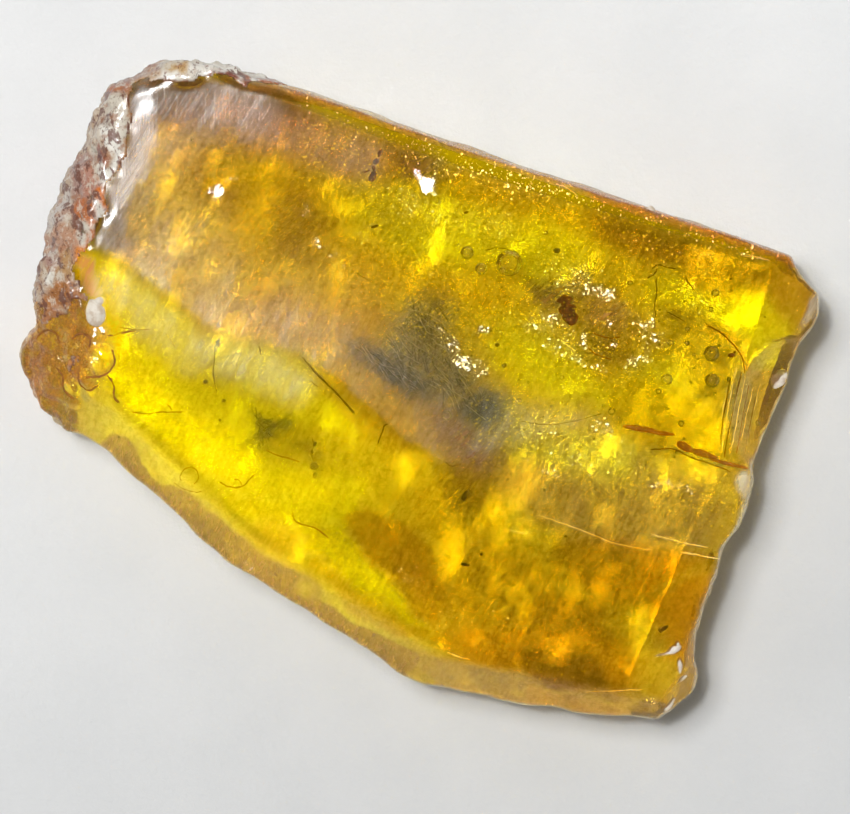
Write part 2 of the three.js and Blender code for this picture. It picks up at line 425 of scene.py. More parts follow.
WINDOW = [
    (-16.3, 6.6), (-15.3, 6.3), (-14.6, 5.6), (-13.9, 5.0), (-13.0, 4.4), (-12.0, 3.6), (-11.0, 2.7),
    (-10.2, 2.4), (-8.0, 2.2), (-6.4, 1.8), (-5.4, 0.4), (-4.2, -0.8), (-3.0, -2.4), (-2.4, -4.0),
    (-3.2, -5.6), (-3.8, -7.0), (-2.4, -8.8), (-0.6, -10.8), (1.5, -12.6), (-1.8, -12.2),
    (-4.0, -10.8), (-8.0, -7.9), (-11.5, -5.0), (-15.0, -2.2), (-17.2, -0.8), (-16.6, 1.0), (-16.5, 4.0),
]
BRIGHT_LENS = [
    (-7.0, -6.5), (-5.4, -6.4), (-4.2, -6.9), (-3.0, -8.0), (-1.8, -9.5), (-0.5, -10.8), (0.3, -11.7),
    (-1.2, -11.0), (-3.0, -9.9), (-5.0, -8.3), (-6.5, -7.3),
]
DARK_LENS = [
    (-4.0, -6.1), (-2.6, -5.8), (-0.8, -6.6), (0.6, -8.2), (1.4, -10.4), (0.9, -11.9), (-0.2, -10.9),
    (-1.8, -9.2), (-3.1, -7.6),
]
LOWER_BEVEL = [
    (-17.6, -0.8), (-17.0, -1.0), (-15.0, -2.3), (-13.0, -4.0), (-11.5, -5.1), (-10.0, -6.4), (-8.0, -8.0),
    (-6.0, -9.4), (-4.0, -10.9), (-2.0, -12.4), (0.0, -13.5), (0.0, -16.0), (-6.0, -13.5), (-12.0, -8.6),
    (-18.5, -3.0),
]


DOME_SPOT = [CLEAR_DOME[0], (-15.9, 1.62)]
EVERYWHERE = [(-22, 20), (22, 20), (22, -20), (-22, -20)]


def lay_tints(brush):
    """The resin's own colours, from its palest bands to its brown heart."""
    up = ease((brush.normals[:, 2] - 0.1) / 0.3)
    brush.prime("tint", seen(215, 178, 25))
    brush.patch("tint", EVERYWHERE, 1.0, BODY_GOLD, 1.0, up)

    def stain(path, width, soft, colour, strength=1.0):
        brush.stroke("tint", path, width, soft, colour, strength, up)

    def pool(outline, soft, colour, strength=1.0):
        brush.patch("tint", outline, soft, colour, strength, up)

    # gold under the satin, browner towards the heart
    stain([(-13.0, 12.5), (-11.0, 8.5), (-9.5, 5.0)], 3.0, 2.5, seen(176, 138, 42))
    stain([(-13.4, 9.4), (-11.0, 7.6), (-10.0, 5.6)], 1.8, 1.8, seen(192, 160, 64))
    stain([(-9.0, 13.4), (-5.0, 12.4), (-1.0, 11.6)], 1.6, 1.8, seen(146, 104, 14))
    stain([(-13.6, 14.6), (-10.5, 14.5), (-6.5, 14.0)], 1.4, 1.2, seen(124, 76, 8))
    stain([(-15.3, 9.2), (-15.4, 7.6), (-14.8, 6.9)], 0.6, 0.9, seen(136, 100, 30))
    stain([(-7.2, 9.9), (-6.0, 8.8), (-5.4, 7.2), (-4.4, 6.2)], 1.2, 1.8, seen(190, 154, 40), 0.9)
    stain([(-8.0, 4.2), (-5.0, 3.4), (-3.0, 3.8)], 1.2, 1.6, seen(182, 138, 26), 0.8)
    stain([(-3.6, 1.0), (-1.0, -1.2), (2.0, -2.6), (3.0, -3.6)], 1.2, 1.8, seen(168, 130, 28), 0.9)
    stain([(0.5, 8.0), (3.0, 7.4), (6.0, 7.5)], 2.0, 2.2, seen(222, 188, 10))
    stain([(-2.2, 9.4), (1.0, 8.6), (4.5, 8.6)], 0.8, 1.6, seen(214, 190, 30), 0.8)
    stain([(-2.5, 6.2), (1.0, 5.4), (4.0, 5.2)], 0.8, 1.4, seen(188, 150, 12), 0.8)
    stain([(2.0, 10.4), (6.0, 9.4), (9.5, 8.6)], 0.6, 1.2, seen(170, 130, 8), 0.8)
    stain([(9.5, 8.4), (13.0, 7.1), (17.0, 6.2)], 1.2, 1.3, seen(120, 84, 5), 0.95)
    stain([(4.5, 2.5), (8.0, 0.3), (11.5, 0.4)], 1.2, 1.6, seen(222, 196, 40))
    stain([(3.5, -1.5), (6.5, -2.5), (9.5, -3.0)], 1.0, 1.4, seen(214, 190, 60))
    stain([(8.6, 4.0), (9.8, 2.9), (9.2, 1.2)], 1.0, 1.0, seen(160, 120, 16), 0.7)

    # the clear window and its lemon bands
    pool(WINDOW, 0.35, seen(236, 212, 12))
    stain([(-15.7, 5.6), (-13.6, 3.9), (-11.4, 2.0), (-8.4, 1.3), (-6.6, 0.7)], 0.8, 1.3, seen(238, 222, 110))
    stain([(-15.6, 0.8), (-13.6, -0.8), (-11.6, -2.2), (-9.4, -2.9)], 1.0, 1.2, seen(244, 222, 0))
    stain([(-16.2, -0.6), (-14.4, -2.0), (-12.9, -3.2)], 0.5, 0.8, seen(248, 236, 110))
    stain([(-10.6, -3.2), (-8.0, -4.2), (-5.6, -4.9), (-3.8, -5.9)], 0.5, 0.7, seen(255, 244, 6))
    bevel_line = [(-12.9, -3.3), (-11.2, -4.5), (-9.0, -6.1), (-7.0, -7.5), (-4.6, -9.6)]
    stain(bevel_line, 0.5, 0.8, seen(246, 234, 40))
    stain([(-8.0, -6.6), (-6.4, -7.4)], 0.5, 0.8, seen(206, 176, 20), 0.9)
    stain([(-9.6, -5.2), (-7.6, -5.6), (-5.4, -6.0)], 0.5, 0.6, seen(226, 194, 4), 0.9)
    stain([(-7.0, -2.6), (-4.6, -2.8), (-2.8, -3.4)], 1.0, 0.9, seen(196, 172, 34), 0.9)
    stain([(-16.6, 6.6), (-16.0, 5.8), (-15.7, 5.3)], 0.5, 0.5, seen(245, 180, 0))
    pool(BRIGHT_LENS, 0.3, seen(246, 218, 0))
    pool(DARK_LENS, 0.4, seen(164, 122, 4))
    stain([(-5.4, -8.8), (-3.4, -10.2), (-1.4, -11.5), (1.2, -12.6)], 0.35, 0.45, seen(176, 138, 6), 0.85)
    stain([(-3.6, -11.1), (-1.6, -12.3), (0.8, -13.2), (3.0, -13.6)], 0.3, 0.5, seen(232, 210, 60), 0.8)

    # the gold and orange right-hand half
    stain([(2.0, -6.0), (2.6, -8.0)], 2.4, 1.6, seen(190, 156, 8))
    stain([(2.0, -6.0), (3.0, -6.9)], 1.2, 1.0, seen(150, 122, 6), 0.9)
    stain([(3.6, -4.7), (5.4, -4.0)], 0.8, 0.9, seen(156, 126, 24), 0.9)
    stain([(8.2, -0.9), (8.8, -1.8)], 0.6, 0.9, seen(160, 140, 50), 0.9)
    stain([(-7.6, -6.8), (-6.6, -7.3)], 0.8, 0.8, seen(176, 150, 16), 0.9)
    stain([(3.0, -9.8), (7.0, -9.8), (10.0, -9.4)], 2.0, 2.0, seen(166, 130, 4))
    stain([(2.5, -12.6), (6.0, -13.0), (9.5, -13.4)], 1.6, 1.4, seen(156, 108, 2))
    stain([(9.0, -8.4), (12.5, -9.2), (13.4, -12.0)], 1.6, 1.5, seen(180, 122, 2))
    stain([(7.5, -8.0), (10.0, -8.9)], 1.2, 1.0, seen(132, 94, 2), 0.9)
    stain([(6.0, -11.2), (8.0, -11.6)], 1.0, 1.0, seen(140, 96, 2), 0.9)
    stain([(6.2, -5.4), (8.5, -5.8), (13.5, -6.0)], 1.4, 1.4, seen(150, 122, 26), 0.95)
    stain([(12.0, -10.0), (14.8, -8.6)], 0.3, 0.4, seen(214, 160, 10), 0.6)
    stain([(10.8, -0.8), (14.2, -2.2)], 2.2, 1.0, seen(168, 140, 4))
    stain([(13.2, 4.6), (14.6, 0.2)], 1.6, 1.2, seen(140, 118, 9))
    stain([(14.8, 4.9), (17.4, 3.4), (17.2, 2.0)], 1.4, 1.0, seen(244, 222, 6))
    stain([(12.0, 5.2), (14.2, 5.2)], 0.8, 0.9, seen(228, 194, 10))
    stain([(14.5, 6.4), (18.0, 5.6), (18.9, 4.2)], 1.0, 0.9, seen(164, 126, 10), 0.95)
    stain([(13.6, 5.9), (15.2, 5.4)], 1.0, 0.8, seen(144, 112, 4), 0.95)
    stain([(14.2, 3.3), (15.4, 2.7), (16.2, 1.5), (16.2, 0.9)], 0.1, 0.25, seen(176, 130, 10), 0.9)
    stain([(16.8, 0.4), (16.6, -1.6), (16.2, -3.4)], 0.7, 0.6, seen(206, 158, 12), 0.9)

    # bevels, the sawn edge and the crust corner
    pool(LOWER_BEVEL, 0.3, seen(158, 126, 50))
    stain([(-9.4, -7.6), (-7.0, -9.4), (-5.6, -10.4)], 0.8, 0.8, seen(160, 124, 30), 0.8)
    sawn_edge = [(-6.0, 15.1), (-1.0, 13.4), (5.0, 11.3), (9.0, 10.0)]
    brush.stroke("tint", sawn_edge, 0.5, 0.4, seen(176, 118, 20))
    brush.stroke("tint", [(9.0, 10.0), (13.0, 8.7), (17.9, 7.1)], 0.7, 0.5, seen(176, 92, 6))
    stain([(0.5, -14.2), (4.6, -14.9)], 0.7, 0.5, seen(156, 132, 50))
    stain([(5.4, -15.4), (8.0, -15.8), (12.0, -15.9)], 0.6, 0.5, seen(176, 142, 24))
    stain([(5.6, -13.6), (8.2, -13.9)], 1.0, 0.8, seen(92, 60, 2), 1.0)
    crust_shades = (
        ([(-19.6, 4.0), (-19.4, 2.0), (-19.0, 0.0), (-18.0, -1.4)], 1.6, seen(226, 170, 70)),
        ([(-18.6, 4.6), (-17.4, 4.0), (-17.8, 2.8)], 0.7, seen(222, 150, 12)),
        ([(-18.0, 2.2), (-17.2, 1.4), (-17.6, 0.2)], 0.9, seen(236, 176, 16)),
        ([(-16.8, 3.0), (-16.6, 2.4)], 0.3, seen(130, 56, 0)),
        ([(-17.2, 1.2), (-17.0, 0.6)], 0.3, seen(140, 64, 0)),
        ([(-16.5, 0.3), (-16.2, 0.1)], 0.2, seen(130, 60, 0)),
        ([(-17.9, 3.4), (-17.6, 3.2)], 0.35, seen(255, 226, 10)),
        ([(-18.4, 1.2), (-18.1, 0.8)], 0.35, seen(255, 216, 10)),
        ([(-15.95, 1.6), (-15.9, 1.6)], 0.9, seen(246, 208, 10)),
    )

    # matter in the resin. Red: the crust of the corner. Green: dust, whose specks also carry painted glints.
    brush.prime("matter", (0.0, 0.15, 0.0))
    for path, width, amount in (
        ([(-12.0, 12.0), (-6.0, 9.0), (-8.0, 5.0)], 3.0, 0.45),
        ([(-4.0, 11.6), (2.0, 9.0), (9.0, 7.0), (15.0, 5.4)], 2.6, 1.0),
        ([(-2.0, 6.0), (4.0, 3.4), (12.0, 1.6)], 2.6, 0.9),
        ([(4.0, -2.0), (9.0, -3.4), (15.0, -5.0)], 1.6, 1.0),
        ([(3.0, -8.4), (11.0, -9.4), (5.0, -12.6)], 2.6, 0.45),
    ):
        brush.stroke("matter", path, width, 1.8, (0.0, amount, 0.0))
    brush.patch("matter", CRUST_CORNER, 0.8, (1.0, 0.5, 0.0))
    brush.stroke("matter", DOME_SPOT, 0.9, 0.3, (0.0, 0.0, 0.0))
    for path, width, colour in crust_shades:
        brush.stroke("tint", path, width, 0.35, colour)
    stain([(-16.9, 6.6), (-16.6, 5.2)], 0.5, 0.5, seen(206, 110, 0))


SATIN = [
    (-4.0, 16.0), (-14.2, 15.4), (-14.4, 13.0), (-15.2, 10.2), (-16.1, 8.0), (-16.2, 6.9), (-15.3, 6.4),
    (-14.6, 5.7), (-13.9, 5.1), (-13.0, 4.5), (-12.0, 3.7), (-11.0, 2.8), (-10.2, 2.5), (-8.0, 2.3),
    (-6.0, 1.9), (-4.4, 0.8), (-2.0, -1.4), (1.0, -3.6), (4.0, -4.4), (4.5, 0.0), (2.0, 5.0), (0.0, 12.0),
]
SAWN_ARRIS = [(-6.0, 15.1), (-1.0, 13.4), (9.0, 10.0), (13.0, 8.7), (17.9, 7.1)]
SATIN_HEART = [(-14.0, 14.5), (-14.5, 9.0), (-13.0, 6.0), (-9.5, 3.4), (-4.5, 1.8), (0.0, -1.6)]
BROKEN_SIDE = [
    (19.6, 4.6), (19.2, 3.2), (18.2, 1.4), (17.2, -2.4), (16.6, -5.0), (15.6, -7.6), (14.4, -10.8),
    (13.6, -13.4), (13.0, -15.6),
]
KNOB_EDGE = [(19.4, 5.3), (19.8, 4.7), (19.4, 3.6)]
FRONT_RIM = [(0.0, -14.3), (3.0, -14.8), (5.4, -15.2)]
RIND_CURL = [(-17.1, 6.5), (-16.6, 6.3), (-16.5, 5.6), (-16.3, 5.0)]
NOTCH_CHIP = [(16.2, -4.4), (16.6, -5.6), (16.0, -7.0)]
LOWER_SATIN = [
    (3.0, 0.2), (8.0, -0.6), (12.0, -3.2), (16.4, -3.9), (16.0, -6.4), (15.0, -8.3), (10.0, -7.9),
    (5.0, -6.2), (2.2, -3.4),
]


def lay_wear_and_painted_light(brush):
    """Red: how far the polish is covered by haze, partly scratch haze and partly a painted sheen. Green:
    roughness. Blue: painted glow, emission that brightens parts of the resin.
    """
    up = ease((brush.normals[:, 2] - 0.45) / 0.3)
    brush.prime("wear_and_painted_light", (0.0, 0.03, 0.0))
    # The haze layer colours an opaque cover over the polish: partly scratch haze, partly a painted sheen.
    brush.prime("haze_and_painted_sheen", rgb(206, 176, 108))

    def lay_haze_and_painted_sheen(path, width, soft, amount, roughness, strength=1.0):
        brush.stroke("wear_and_painted_light", path, width, soft, (amount, roughness, 0.0), strength, up)

    down = ease((-brush.normals[:, 2] - 0.3) / 0.3)
    side = 1.0 - ease((np.abs(brush.normals[:, 2]) - 0.2) / 0.4)
    brush.lay("wear_and_painted_light", down, (0.0, 0.12, 0.0))
    brush.lay("wear_and_painted_light", side, (0.02, 0.12, 0.0))
    satin = up * ease(into_outline(brush.shaken, SATIN) / 0.35 + 0.5)
    satin *= ease(1.1 - from_path(brush.points, SATIN_HEART) / 7.0)
    brush.lay("wear_and_painted_light", satin, (0.015, 0.105, 0.0))
    lay_haze_and_painted_sheen([(-9.8, 14.0), (-6.5, 12.8), (-3.0, 11.6)], 0.8, 2.2, 0.03, 0.13, 0.7)
    lay_haze_and_painted_sheen([(-15.4, 9.0), (-15.6, 7.4), (-14.4, 6.2), (-13.4, 5.2)], 0.5, 1.2, 0.05, 0.13, 0.9)
    lay_haze_and_painted_sheen([(-10.4, 3.4), (-7.0, 2.9), (-4.5, 2.4)], 0.8, 1.6, 0.05, 0.13, 0.8)
    lay_haze_and_painted_sheen([(-13.4, 14.6), (-11.0, 14.6), (-8.4, 14.3)], 0.7, 1.4, 0.10, 0.13, 0.9)
    # Painted highlight at the top-left corner: a pale streak, a falling strip and a bright spot of haze
    # cover.
    lay_haze_and_painted_sheen([(-13.9, 14.7), (-13.6, 12.5), (-14.2, 10.8)], 0.12, 0.7, 0.30, 0.16, 1.0)
    lay_haze_and_painted_sheen([(-14.2, 13.8), (-14.3, 12.4), (-14.8, 11.2), (-15.4, 9.8)], 0.9, 0.6, 0.24, 0.26, 1.0)
    lay_haze_and_painted_sheen([(-13.9, 14.5), (-13.85, 14.3)], 0.3, 0.4, 0.5, 0.2, 1.0)
    # A pale band of painted light along the satin's lower edge.
    lay_haze_and_painted_sheen([(-15.2, 5.4), (-13.6, 3.8), (-11.6, 2.0), (-8.6, 1.4), (-6.4, 0.4)], 0.5, 1.4, 0.22, 0.05, 1.0)
    brush.patch("wear_and_painted_light", LOWER_SATIN, 2.5, (0.02, 0.12, 0.0), 0.9, up)
    brush.patch("wear_and_painted_light", LOWER_BEVEL, 0.3, (0.13, 0.22, 0.0))
    lay_haze_and_painted_sheen(FRONT_RIM, 0.8, 0.5, 0.09, 0.22)
    near_top = ease((brush.points[:, 2] - TOP + 2.4) / 1.6)
    brush.stroke("wear_and_painted_light", SAWN_ARRIS, 2.4, 0.6, (0.34, 0.2, 0.0), 1.0, side * (0.5 + 0.5 * near_top))
    brush.stroke("wear_and_painted_light", SAWN_ARRIS, 0.3, 0.25, (0.42, 0.2, 0.0))
    facing_out = (1.0 - up) * (0.45 + 0.55 * near_top)
    # On the broken side the pale cover is partly the frosted break and partly painted light, where the resin
    # would look dark.
    brush.stroke("wear_and_painted_light", BROKEN_SIDE, 1.2, 0.6, (0.36, 0.22, 0.0), 1.0, facing_out)
    brush.stroke("wear_and_painted_light", BROKEN_SIDE, 0.2, 0.3, (0.34, 0.25, 0.0), 0.6, near_top)
    brush.stroke("wear_and_painted_light", NOTCH_CHIP, 0.5, 0.4, (0.55, 0.3, 0.0), 1.0, near_top)
    brush.patch("wear_and_painted_light", CRUST_CORNER, 0.6, (0.24, 0.07, 0.0), 1.0)
    # The clear dome and the rind curl get painted glow in blue; the curl also gets an orange haze.
    brush.stroke("wear_and_painted_light", DOME_SPOT, 0.9, 0.3, (0.0, 0.02, 0.3))
    brush.stroke("wear_and_painted_light", RIND_CURL, 0.4, 0.3, (0.6, 0.1, 0.2))
    lay_haze_and_painted_sheen([(5.4, -15.2), (8.0, -15.7), (12.0, -15.9)], 0.6, 0.5, 0.02, 0.14)
    lay_haze_and_painted_sheen(KNOB_EDGE, 0.3, 0.25, 0.4, 0.15)

    def colour_haze_and_painted_sheen(path, width, soft, colour, where=1.0):
        brush.stroke("haze_and_painted_sheen", path, width, soft, colour, 1.0, where)

    colour_haze_and_painted_sheen([(-13.6, 14.6), (-10.0, 14.4), (-7.0, 14.0)], 1.4, 1.6, rgb(144, 96, 72))
    colour_haze_and_painted_sheen([(-15.4, 9.0), (-15.6, 7.2), (-14.2, 5.8)], 0.9, 1.2, rgb(150, 108, 94))
    # Painted highlight at the top-left corner: a pale strip and a near-white spot.
    colour_haze_and_painted_sheen([(-14.2, 13.8), (-14.0, 12.5), (-14.8, 10.4)], 0.9, 0.9, rgb(182, 142, 122))
    colour_haze_and_painted_sheen([(-13.9, 14.6), (-13.8, 14.2)], 0.6, 0.6, rgb(250, 246, 246))
    colour_haze_and_painted_sheen(SAWN_ARRIS[:3], 2.4, 0.6, rgb(204, 152, 46))
    colour_haze_and_painted_sheen(SAWN_ARRIS[2:], 2.4, 0.6, rgb(196, 130, 24))
    rim = ease((brush.points[:, 2] - TOP + 0.8) / 0.4)
    colour_haze_and_painted_sheen(SAWN_ARRIS[:3], 0.5, 0.3, rgb(186, 112, 36), rim)
    colour_haze_and_painted_sheen(SAWN_ARRIS[2:], 0.5, 0.3, rgb(176, 84, 16), rim)
    # Pale colours of the broken side: partly its frosted break, partly painted light.
    colour_haze_and_painted_sheen(BROKEN_SIDE[:4], 2.0, 1.0, rgb(206, 156, 62))
    colour_haze_and_painted_sheen(BROKEN_SIDE[4:], 2.0, 1.0, rgb(216, 182, 110))
    colour_haze_and_painted_sheen(NOTCH_CHIP, 0.8, 0.4, rgb(226, 214, 190), near_top)
    colour_haze_and_painted_sheen(KNOB_EDGE, 0.5, 0.3, rgb(206, 190, 160), near_top)
    brush.patch("haze_and_painted_sheen", CRUST_CORNER, 0.4, rgb(206, 128, 52))
    colour_haze_and_painted_sheen(RIND_CURL, 0.5, 0.3, rgb(196, 100, 14))
    # Pale colour of the band of painted light along the satin's lower edge.
    colour_haze_and_painted_sheen([(-15.2, 5.2), (-13.6, 3.8), (-8.6, 1.4), (-6.4, 0.4)], 0.5, 1.4, rgb(250, 240, 170))
    brush.patch("haze_and_painted_sheen", LOWER_BEVEL, 0.3, rgb(188, 146, 62))
    brush.patch("haze_and_painted_sheen", LOWER_SATIN, 1.0, rgb(226, 214, 170))
    colour_haze_and_painted_sheen(FRONT_RIM, 1.0, 0.5, rgb(226, 206, 150))

    # Painted glow: emission brushed into the clear window and the bright bands, a stand-in for light passing
    # through the resin.
    window = ease(into_outline(brush.shaken, WINDOW) / 0.6 + 0.5)
    brush.layers["wear_and_painted_light"][:, 2] += up * window * 0.12
    for path, amount, reach in (
        ([(-15.2, 1.2), (-12.6, -1.2), (-9.4, -2.8)], 0.28, 2.2),
        ([(-10.4, -3.3), (-7.6, -4.3), (-5.4, -5.0)], 0.36, 2.2),
        ([(12.6, -0.6), (14.4, -2.6)], 0.06, 2.2),
        ([(15.0, 4.6), (17.4, 3.0)], 0.16, 1.6),
        ([(-12.8, -3.6), (-9.6, -5.4), (-5.0, -9.4)], 0.22, 2.0),
        ([(-15.0, 4.8), (-12.0, 2.4)], 0.30, 2.2),
        # the strongest painted glow lifts the strip that the skin shades
        ([(-16.4, 6.3), (-15.6, 5.6), (-15.8, 4.2), (-15.4, 2.6)], 0.95, 1.4),
        ([(-18.4, 3.4), (-17.4, 2.0), (-18.4, 0.0), (-17.2, -0.4)], 0.22, 1.8),
        ([(-0.6, 9.0), (3.0, 8.2), (6.5, 7.6)], 0.12, 2.6),
        ([(4.6, 1.4), (8.0, 0.2), (11.4, 0.0)], 0.14, 2.6),
        ([(4.6, -0.8), (7.0, -1.6), (8.4, -1.6)], 0.14, 1.6),
        ([(-2.6, -4.6), (-0.6, -3.4), (0.6, -3.2)], 0.12, 1.6),
        ([(-6.0, -4.6), (-2.6, -4.8)], 0.16, 1.8),
        ([(-5.5, 14.3), (-1.0, 12.6), (5.0, 10.6), (9.0, 9.3), (13.0, 8.0), (17.0, 6.6)], 0.16, 1.0),
    ):
        gap = from_path(brush.points, path)
        brush.layers["wear_and_painted_light"][:, 2] += up * ease(1.0 - gap / reach) * amount


resin = Brush(body, shake=0.12, shake_size=0.9)
lay_tints(resin)
lay_wear_and_painted_light(resin)
resin.store()


# Painted glow: an emission over the whole resin, a stand-in for light that wanders through the lump.
PAINTED_BASE_GLOW = 0.06                       # light that wanders through the whole lump
PAINTED_GLOW_HUE = (1.0, 0.72, 0.0, 1.0)
AMBER_IOR = 1.54
ABSORBED = {"Color": (0.997, 0.983, 0.1, 1.0), "Density": 330.0}
MOTTLE_TINT = (0.94, 0.945, 0.88, 1.0)
GRIT_TINT = (0.77, 0.755, 0.60, 1.0)
CRUST_ORANGE = (1.0, 0.42, 0.02, 1.0)
CRUST_OUTLINE = (0.26, 0.045, 0.003, 1.0)
DUST_TINT = (0.55, 0.46, 0.30, 1.0)
WORN_TINT = (0.80, 0.72, 0.66, 1.0)


def amber_material():
    """Clear tinted resin, with brushed wear, dust and crust; an opaque cover that is partly scratch haze and
    partly a painted sheen; and a painted glow and painted glints by emission.
    """
    paint = Paint("clear_amber")
    paint.material.cycles.emission_sampling = "NONE"
    mottle = paint.clouds(2.2, 3.0, roughness=0.6)
    grit = paint.clouds(0.32, 4.0, roughness=0.75)
    streaks = paint.clouds(0.5, 3.0, turn=62.0, stretch=(0.12, 1.0, 0.4))
    brushing = paint.clouds(0.2, 3.0, turn=62.0, stretch=(0.2, 1.0, 0.4), roughness=0.6)
    fine = paint.clouds(0.13, 2.0, turn=58.0, stretch=(0.05, 1.0, 0.3))
    fine_too = paint.clouds(0.11, 2.0, turn=88.0, stretch=(0.05, 1.0, 0.3))
    haze_and_painted_sheen = paint.channel("wear_and_painted_light", 0)
    rough = paint.channel("wear_and_painted_light", 1)
    painted_glow = paint.channel("wear_and_painted_light", 2)

    colour = paint.tinted(1.0 - mottle.above(0.5, 0.22), paint.brushed("tint"), MOTTLE_TINT)
    colour = paint.tinted(1.0 - grit.above(0.47, 0.07), colour, GRIT_TINT)
    lumps = paint.clouds(0.7, 5.0, roughness=0.7)
    outlines = lumps.above(0.46, 0.02) * (1.0 - lumps.above(0.53, 0.02))
    crust = paint.channel("matter", 0)
    colour = paint.blend(crust * lumps.above(0.52, 0.03) * 0.8, colour, CRUST_ORANGE)
    colour = paint.blend(crust * outlines * 0.95, colour, CRUST_OUTLINE)
    dust = paint.clouds(0.13, 2.0)
    dust_and_glints = paint.channel("matter", 1)
    colour = paint.tinted(dust_and_glints * (1.0 - dust).above(0.66, 0.03) * 0.7, colour, DUST_TINT)
    worn = rough.above(0.09, 0.04) * brushing.above(0.5, 0.06)
    colour = paint.tinted(worn, colour, WORN_TINT)
    scratches = (fine.above(0.56, 0.1) + fine_too.above(0.58, 0.1)) * rough.above(0.12, 0.08)
    height = scratches * 0.16 + streaks * rough + grit * 0.5
    relief = paint.bump(height, 0.005)
    shine = rough + scratches * 0.06
    # Painted glints: dust specks that glow by emission.
    painted_glints = dust_and_glints * dust.above(0.65, 0.03) * 0.8
    painted_glow_colour = paint.blend((painted_glow + painted_glints + PAINTED_BASE_GLOW).clipped(), BLACK, PAINTED_GLOW_HUE)
    glass = paint.principled(
        Base_Color=colour, Roughness=shine.clipped(), IOR=AMBER_IOR, Transmission_Weight=1.0, Normal=relief,
        Emission_Color=painted_glow_colour, Emission_Strength=0.5,
    )
    # The haze shader is an opaque cover, partly scratch haze and partly a painted sheen.
    haze_and_painted_sheen_shader = paint.principled(Base_Color=paint.brushed("haze_and_painted_sheen"), Roughness=0.5, IOR=AMBER_IOR, Normal=relief)
    cover = haze_and_painted_sheen * (0.35 + 0.7 * streaks.above(0.5, 0.25) + 0.6 * brushing.above(0.52, 0.12))
    cover = cover + rough.above(0.09, 0.04) * scratches * 0.05
    surface = paint.mix_shaders(cover.clipped(), glass, haze_and_painted_sheen_shader)
    return paint.finish(surface, paint.node("ShaderNodeVolumeAbsorption", None, ABSORBED))


body.data.materials.append(amber_material())
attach(body, "root")
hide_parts("amber_piece")


# ------------------------------------------------------------ weathered skin

SKIN_VOXEL = 0.13
SKIN_SMOOTHING = 4
SKIN_RAISED = 0.05
SKIN_LEAST = 0.015                     # it never sinks below this height over the resin
SKIN_THICKNESS = 0.14
SKIN_FOOT = 0.5                        # it ends this far above the floor


def skin_shell():
    """The weathered crust: the skin side of the piece, raised a little and thickened."""
    skin = body_copy("weathered_skin")
    modify(skin, "REMESH", mode="VOXEL", voxel_size=SKIN_VOXEL * MM)
    modify(skin, "SMOOTH", factor=0.5, iterations=SKIN_SMOOTHING)
    carve_relief(skin)
    points = vectors_of(skin) / MM
    jagged = into_outline(points, SKIN_OUTLINE) + 0.10 * ripple(points, 0.5, 11.0)

    # whole down the side, and only in patches on the crust corner
    holes = ripple(points, 1.1, 12.0)
    crust = ease((5.0 - points[:, 1]) / 1.0)
    keep = (jagged > 0.0) & (holes > 0.85 * crust - 1.6 * (1.0 - crust))
    keep &= points[:, 2] > SKIN_FOOT

    # a face stays where all its corners do
    corners = np.zeros(len(skin.data.loops), int)
    skin.data.loops.foreach_get("vertex_index", corners)
    starts = np.zeros(len(skin.data.polygons), int)
    skin.data.polygons.foreach_get("loop_start", starts)
    totals = np.zeros(len(skin.data.polygons), int)
    skin.data.polygons.foreach_get("loop_total", totals)
    kept = keep[corners].astype(int)
    wanted = np.add.reduceat(kept, starts) == totals
    cut_away(skin, skin.data.polygons, "FACE", ~wanted)

    points = vectors_of(skin) / MM
    normals = vectors_of(skin, "normal")
    edge = ease(into_outline(points, SKIN_OUTLINE) / 0.5)
    raised = SKIN_RAISED + edge * 0.10 * ripple(points, 0.5, 13.0)
    raised += edge * 0.05 * ripple(points, 0.25, 14.0)
    flat_top = ease((points[:, 2] - TOP + 0.5) / 0.3) * ease((normals[:, 2] - 0.8) / 0.15)
    raised *= 1.0 - 0.7 * flat_top
    move_points(skin, points + normals * np.maximum(raised, SKIN_LEAST)[:, None])
    modify(skin, "SOLIDIFY", thickness=SKIN_THICKNESS * MM, offset=-1.0)
    pick(skin)
    bpy.ops.object.shade_smooth()
    return skin


